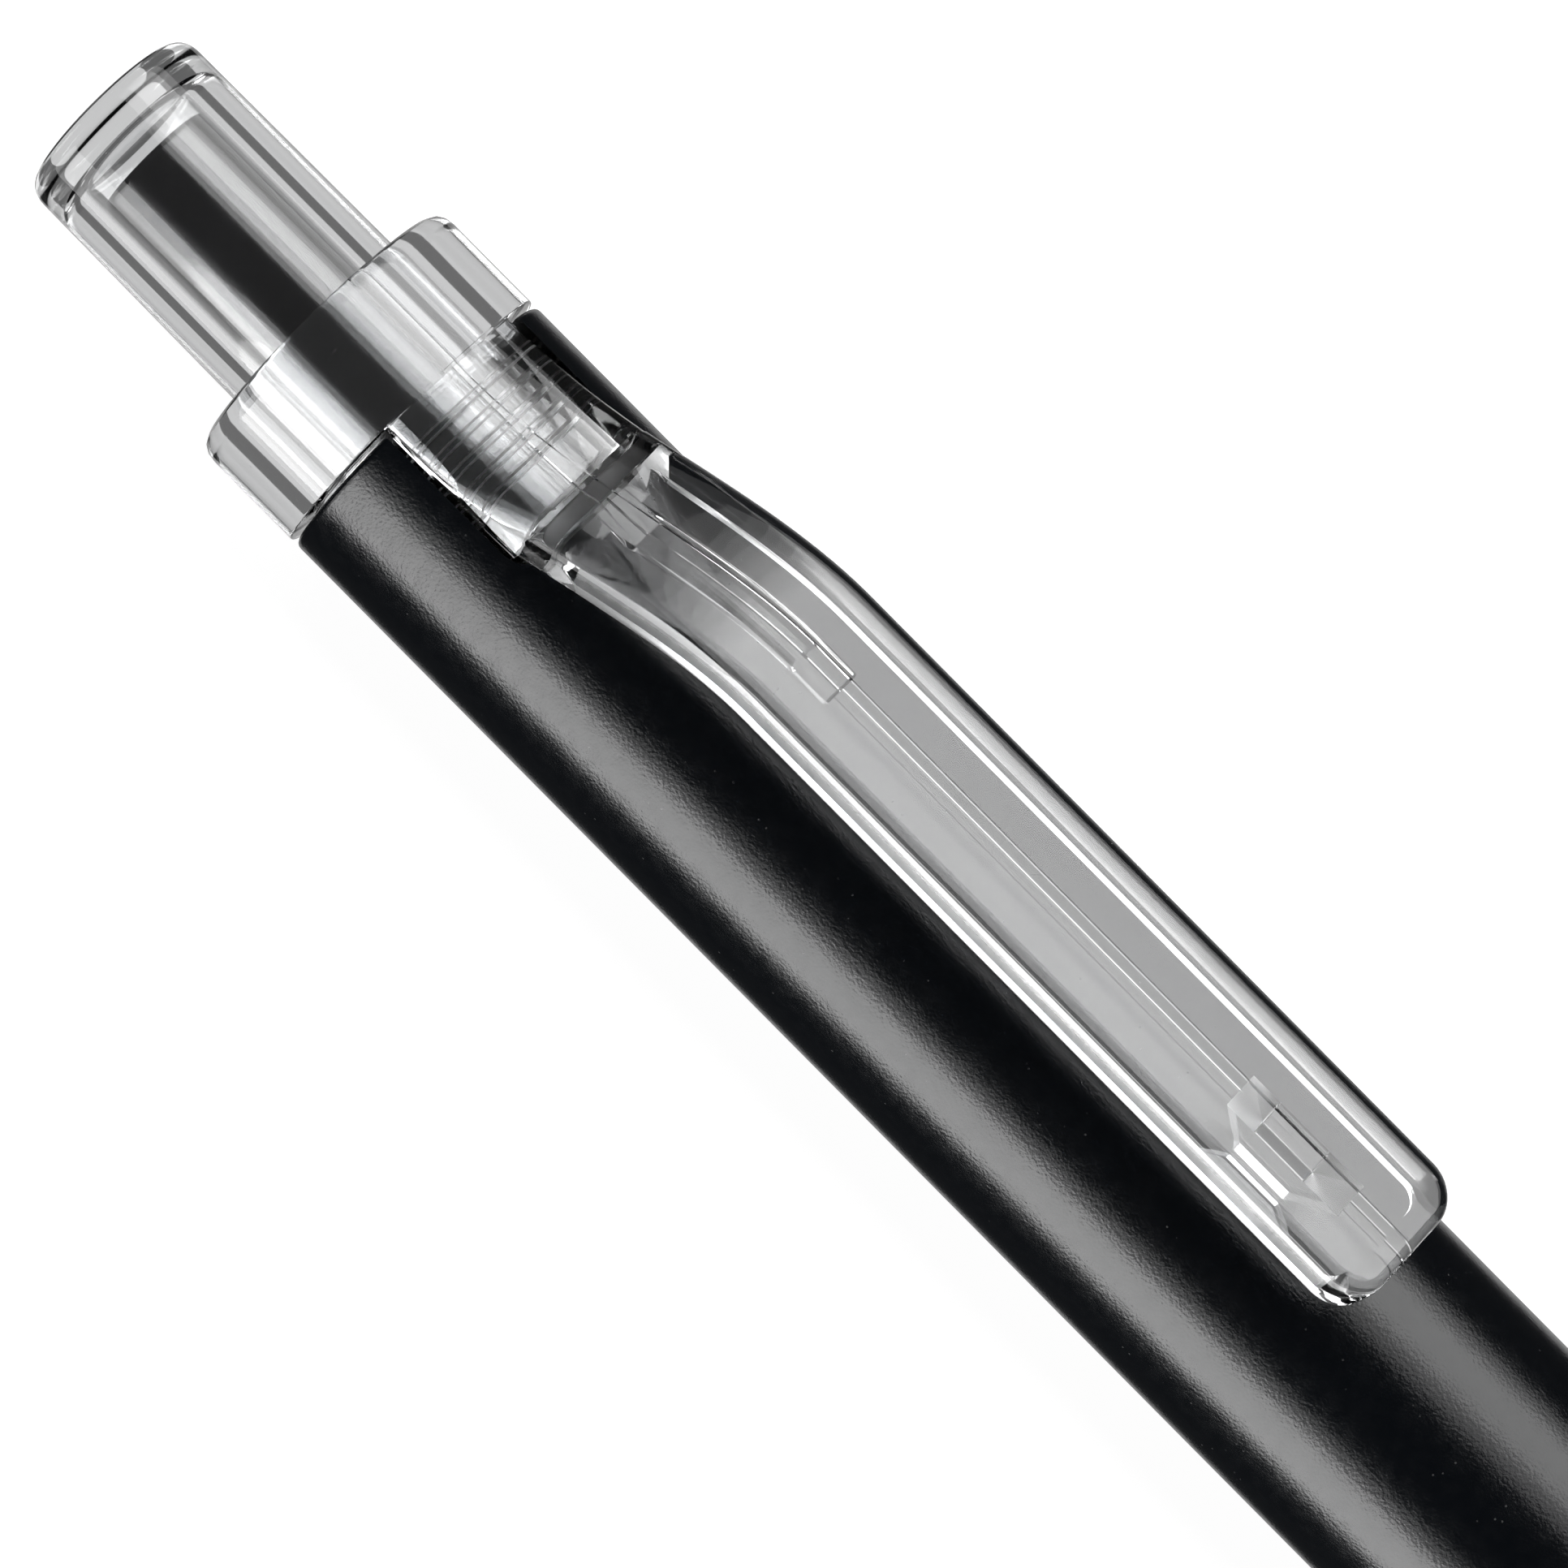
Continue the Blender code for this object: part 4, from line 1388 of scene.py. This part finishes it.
@dataclass
class Refill:
    """The refill with its fibre nib, its spring and the fixed cam sleeve."""

    axis: PenAxis
    finishes: dict[str, Material]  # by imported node
    tube_start: float = 0.0152
    tube_end: float = 0.092
    tube_radius: float = 0.003
    tube_wall: float = 0.00065
    wire: float = 0.00025
    coil: float = 0.0023  # the spring's middle radius
    turns: int = 9
    plug: Stations = (0.0125, 0.014, 0.015)  # its back end, its shoulder and its stop
    plug_neck: float = 0.0021
    holder: Stations = (0.0936, 0.1145, 0.1205)  # its neck, its thin end and its mouth
    neck: float = 0.0016
    thin: float = 0.00105
    hole: float = 0.0008
    nib: Stations = (0.1123, 0.1229, 0.1245)  # its seat, its taper and its point
    nib_radius: float = 0.00065

    def part(self, name: str, corners: Sequence[Corner], slot: str, node: str) -> None:
        """Turn one piece that moves with the refill, and dress it."""
        piece = finished(turned(self.axis, rounded(corners), SMALL_STEPS), name)
        dress(piece, self.finishes[node], "refill", slot, node)

    def build_inside(self) -> None:
        """Turn the end plug, tube, filler, nib holder and nib."""
        start, end, radius = self.tube_start, self.tube_end, self.tube_radius
        bore = radius - self.tube_wall
        snug = bore - 0.00015
        back, shoulder, stop = self.plug
        plug = [
            (back, 0.0, 0.0), (back, self.plug_neck, SOFT), (shoulder, self.plug_neck, SOFT),
            (shoulder, radius, SOFT), (stop, radius, SOFT), (stop, snug, 0.0),
            (start + 0.003, snug, SOFT), (start + 0.003, 0.0, 0.0),
        ]
        tube = [
            (start + 0.01, bore, 0.0), (start, bore, FINE), (start, radius, FINE),
            (end, radius, FINE), (end, bore, FINE), (end - 0.01, bore, 0.0),
        ]
        filler = [
            (start + 0.004, 0.0, 0.0), (start + 0.004, snug, SOFT),
            (end - 0.006, snug, SOFT), (end - 0.006, 0.0, 0.0),
        ]
        neck, thin, mouth = self.holder
        holder = [
            (end - 0.005, 0.0, 0.0), (end - 0.005, snug, SOFT), (end + SOFT, snug, 0.0),
            (end + SOFT, radius, SOFT), (neck, radius, SOFT), (neck, self.neck, SOFT),
            (thin, self.neck, SOFT), (thin, self.thin, FINE), (mouth, self.thin, FINE),
            (mouth, self.hole, FINE), (self.nib[0] - 0.0003, self.hole, 0.0),
            (self.nib[0] - 0.0003, 0.0, 0.0),
        ]
        seat, taper, point = self.nib
        nib = [
            (seat, 0.0, 0.0), (seat, self.nib_radius, FINE), (taper, self.nib_radius, 0.0004),
            (point - 0.00035, 0.00035, 0.0003), (point, 0.0, 0.0),
        ]
        self.part("refill_end_plug", plug, "gloss_black", "refill_plug")
        self.part("refill_body_tube", tube, "refill_tube", "refill_tube")
        self.part("ink_fibre_rod", filler, "test_ink", "ink_filler")
        self.part("nib_holder_neck", holder, "gloss_black", "nib_holder")
        self.part("fibre_nib", nib, "nib_fibre", "nib")

    def build_sleeve(self) -> None:
        """Make the white cam sleeve with its notched lower edge."""
        low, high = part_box("cam_sleeve")
        start, end = self.axis.station(low.x), self.axis.station(high.x)
        outer = (high.y - low.y) / 2
        inner = outer - 0.00045
        corners = [
            ((start + end) / 2, inner, 0.0), (start, inner, FINE), (start, outer, FINE),
            (end, outer, FINE), (end, inner, FINE), ((start + end) / 2 + FINE, inner, 0.0),
        ]
        sleeve = finished(turned(self.axis, rounded(corners), MIDDLE_STEPS), "cam_lock_sleeve")
        bars = cross_bars(self.axis, 4, 0.0012, (end - 0.002, end + CLEAR), BAR_REACH)
        combine(sleeve, bars, Join.CUT)
        settle(sleeve)
        dress(sleeve, self.finishes["cam_sleeve"], "pen_body", "cam_white", "cam_sleeve")

    def build_spring(self) -> None:
        """Wind the spring by spinning its wire's section, with closed ends."""
        low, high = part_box("spring")
        start = self.axis.station(low.x) + self.wire
        length = high.x - low.x - 2 * self.wire
        shape = bmesh.new()
        section = bmesh.ops.create_circle(shape, cap_ends=True, radius=self.wire, segments=12)
        verts = section["verts"]
        upright = Matrix.Rotation(math.pi / 2, 3, "X")
        bmesh.ops.rotate(shape, verts=verts, cent=(0.0, 0.0, 0.0), matrix=upright)
        bmesh.ops.translate(shape, verts=verts, vec=self.axis.point(start, 0.0, self.coil))
        steps = 48 * self.turns
        bmesh.ops.spin(
            shape,
            geom=shape.verts[:] + shape.edges[:] + shape.faces[:],
            cent=self.axis.point(0.0),
            axis=ALONG,
            dvec=(length / steps, 0.0, 0.0),
            angle=math.tau * self.turns,
            steps=steps,
        )
        spring = finished(shape, "return_spring")
        dress(spring, self.finishes["spring"], "", "spring_steel", "spring")
        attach(spring, "pen_body")
        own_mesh(spring)


class Role(Enum):
    """What a soft light is for."""

    LAMP = "lights everything"
    CARD = "shows in gloss and through clear plastic"
    SIDE_CARD = "shows through clear plastic"


@dataclass(frozen=True)
class Strip:
    """A long soft light or a lit card beside the pen."""

    name: str
    turn: float  # from the view, about the axis, in degrees
    spread: float  # in degrees
    glow: float  # radiance
    role: Role = Role.LAMP
    start: float = -0.25
    end: float = 0.5
    fade: float = 0.0  # the length over which its start fades in
    back: float = 0.0  # how far it hangs behind the first

    def steps(self) -> list["Strip"]:
        """Split the strip into lamps that start one after another where it fades.

        Returns:
            The lamps.
        """
        if self.fade <= 0.0:
            return [self]
        starts = spaced(self.start, self.start + self.fade, FADE_LAMPS)
        first = replace(self, glow=self.glow / FADE_LAMPS, fade=0.0)
        return [
            replace(first, name=f"{self.name}_{index}", start=start, back=FADE_BACK * index)
            for index, start in enumerate(starts)
        ]


@dataclass
class Studio:
    """The pale floor, the strip lights and the camera."""

    axis: PenAxis
    side: float = 25.5  # the view from straight above the clip, in degrees
    roll: float = 45.25  # of the pen in the picture, in degrees
    distance: float = 0.195
    lens: float = 140.1
    aim: float = 0.0164  # the station in the middle of the picture
    aim_across: float = 0.000285
    reach: float = 0.45  # how far the lights hang from the axis
    floor_half: float = 3.0
    floor_grey: float = 0.25
    floor_glow: float = 0.95
    dim: Point = (0.03, 0.13)  # the world in gloss and through clear plastic
    strips: tuple[Strip, ...] = (
        Strip("strip_near_top", -70.0, 40.0, 2.6, end=-0.062),
        Strip("strip_near_soft", -67.5, 51.0, 1.6, start=-0.062),
        Strip("strip_near", -71.0, 35.0, 6.0, start=-0.062),
        Strip("strip_far_soft", 52.5, 59.0, 1.8, start=-0.42, fade=0.2),
        Strip("strip_far", 54.0, 34.0, 3.0, start=-0.38, fade=0.2),
        Strip("card_under", 175.5, 53.0, 0.5, Role.CARD),
        Strip("card_far", 113.5, 27.0, 0.5, Role.SIDE_CARD),
        Strip("card_near", -120.0, 30.0, 0.5, Role.SIDE_CARD),
    )

    def toward(self, turn: float) -> Vector:
        """Return the direction at an angle about the axis, from the view toward the clip.

        Args:
            turn: The angle in degrees.

        Returns:
            The direction.
        """
        tilt = math.radians(self.side)
        view = Vector((0.0, -math.sin(tilt), math.cos(tilt)))
        across = Vector((0.0, math.cos(tilt), math.sin(tilt)))
        angle = math.radians(turn)
        return view * math.cos(angle) + across * math.sin(angle)

    def camera(self) -> None:
        """Set the camera square to the axis, rolled as the pen lies in the picture."""
        view = self.toward(0.0)
        across = self.toward(90.0)
        roll = math.radians(self.roll)
        right = ALONG * math.cos(roll) + across * math.sin(roll)
        up = across * math.cos(roll) - ALONG * math.sin(roll)
        lens = bpy.data.cameras.new("camera")
        lens.lens = self.lens
        lens.sensor_width = 36.0
        lens.clip_start = 0.005
        lens.clip_end = 20.0
        camera = placed("camera", lens)
        spot = self.axis.point(self.aim) + across * self.aim_across + view * self.distance
        basis = Matrix((right, up, view)).transposed().to_4x4()
        camera.matrix_world = Matrix.Translation(spot) @ basis
        bpy.context.scene.camera = camera

    def light(self, strip: Strip) -> None:
        """Hang one strip light, facing the pen.

        Args:
            strip: Which light.
        """
        reach = self.reach + strip.back
        width = 2 * reach * math.tan(math.radians(strip.spread) / 2)
        lamp = bpy.data.lights.new(strip.name, "AREA")
        lamp.shape = "RECTANGLE"
        lamp.size = strip.end - strip.start
        lamp.size_y = width
        lamp.energy = strip.glow * math.pi * lamp.size * width
        made = placed(strip.name, lamp)
        outward = self.toward(strip.turn)
        basis = Matrix((ALONG, outward.cross(ALONG), outward)).transposed().to_4x4()
        middle = self.axis.point((strip.start + strip.end) / 2) + outward * reach
        made.matrix_world = Matrix.Translation(middle) @ basis
        made.visible_camera = False
        made.visible_diffuse = strip.role is Role.LAMP
        made.visible_glossy = strip.role is not Role.SIDE_CARD

    def floor(self) -> None:
        """Lay the pale floor, softly lit from within so that clear plastic reads on it."""
        shape = bmesh.new()
        bmesh.ops.create_grid(shape, x_segments=8, y_segments=8, size=self.floor_half)
        floor = finished(shape, "floor")
        pale = bpy.data.materials.new("pale_floor")
        pale.use_nodes = True
        shader = pale.node_tree.nodes["Principled BSDF"]
        fix(shader, Base_Color=(*[self.floor_grey] * 3, 1.0), Roughness=0.9)
        fix(shader, Emission_Color=WHITE, Emission_Strength=self.floor_glow)
        floor.data.materials.append(pale)
        floor.visible_shadow = False
        floor.visible_glossy = False
        floor.visible_diffuse = False
        floor.visible_transmission = False

    def surround(self) -> None:
        """Set a white world for the eye and a dim one for reflections."""
        world = bpy.data.worlds.new("studio")
        bpy.context.scene.world = world
        world.use_nodes = True
        shade = Shade(world.node_tree)
        glow = world.node_tree.nodes["Background"]
        path = shade.node("ShaderNodeLightPath")
        through = shade.spread(path.outputs["Is Transmission Ray"], (0.0, 1.0), self.dim)
        strength = shade.spread(path.outputs["Is Camera Ray"], (0.0, 1.0), (through, 1.0))
        shade.link(strength, glow.inputs["Strength"])
        fix(glow, Color=WHITE)

    def build(self) -> None:
        """Set up the whole studio."""
        self.floor()
        self.surround()
        for strip in self.strips:
            for lamp in strip.steps():
                self.light(lamp)
        self.camera()
        bpy.context.scene.view_settings.view_transform = "Standard"


def main() -> None:
    """Build every piece of the pen and the studio around it."""
    logging.basicConfig(level=logging.INFO, format="%(name)s %(message)s")
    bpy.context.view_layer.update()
    axis = PenAxis.of_barrel("barrel")
    black = BLACK_BARREL.build()
    Barrel(axis, black).build()
    ClearClip(axis, CLEAR_MOULDING.build(), TEXTURED_CLEAR.build()).build()
    button = PushButton(axis, CLEAR_BUTTON, DARK_STEM)
    button.build_button()
    button.build_rotor()
    nose = Nose(axis, black, SEAL_RUBBER.build())
    nose.build_cone()
    nose.build_seal()
    dark = DARK_REFILL.build()
    finishes = {
        "refill_plug": dark,
        "refill_tube": REFILL_TUBE.build(),
        "ink_filler": TEST_INK.build(),
        "nib_holder": dark,
        "nib": NIB_FIBRE.build(),
        "cam_sleeve": WHITE_CAM.build(),
        "spring": SPRING_STEEL.build(),
    }
    refill = Refill(axis, finishes)
    refill.build_inside()
    refill.build_sleeve()
    refill.build_spring()
    Studio(axis).build()


if __name__ == "__main__":
    main()
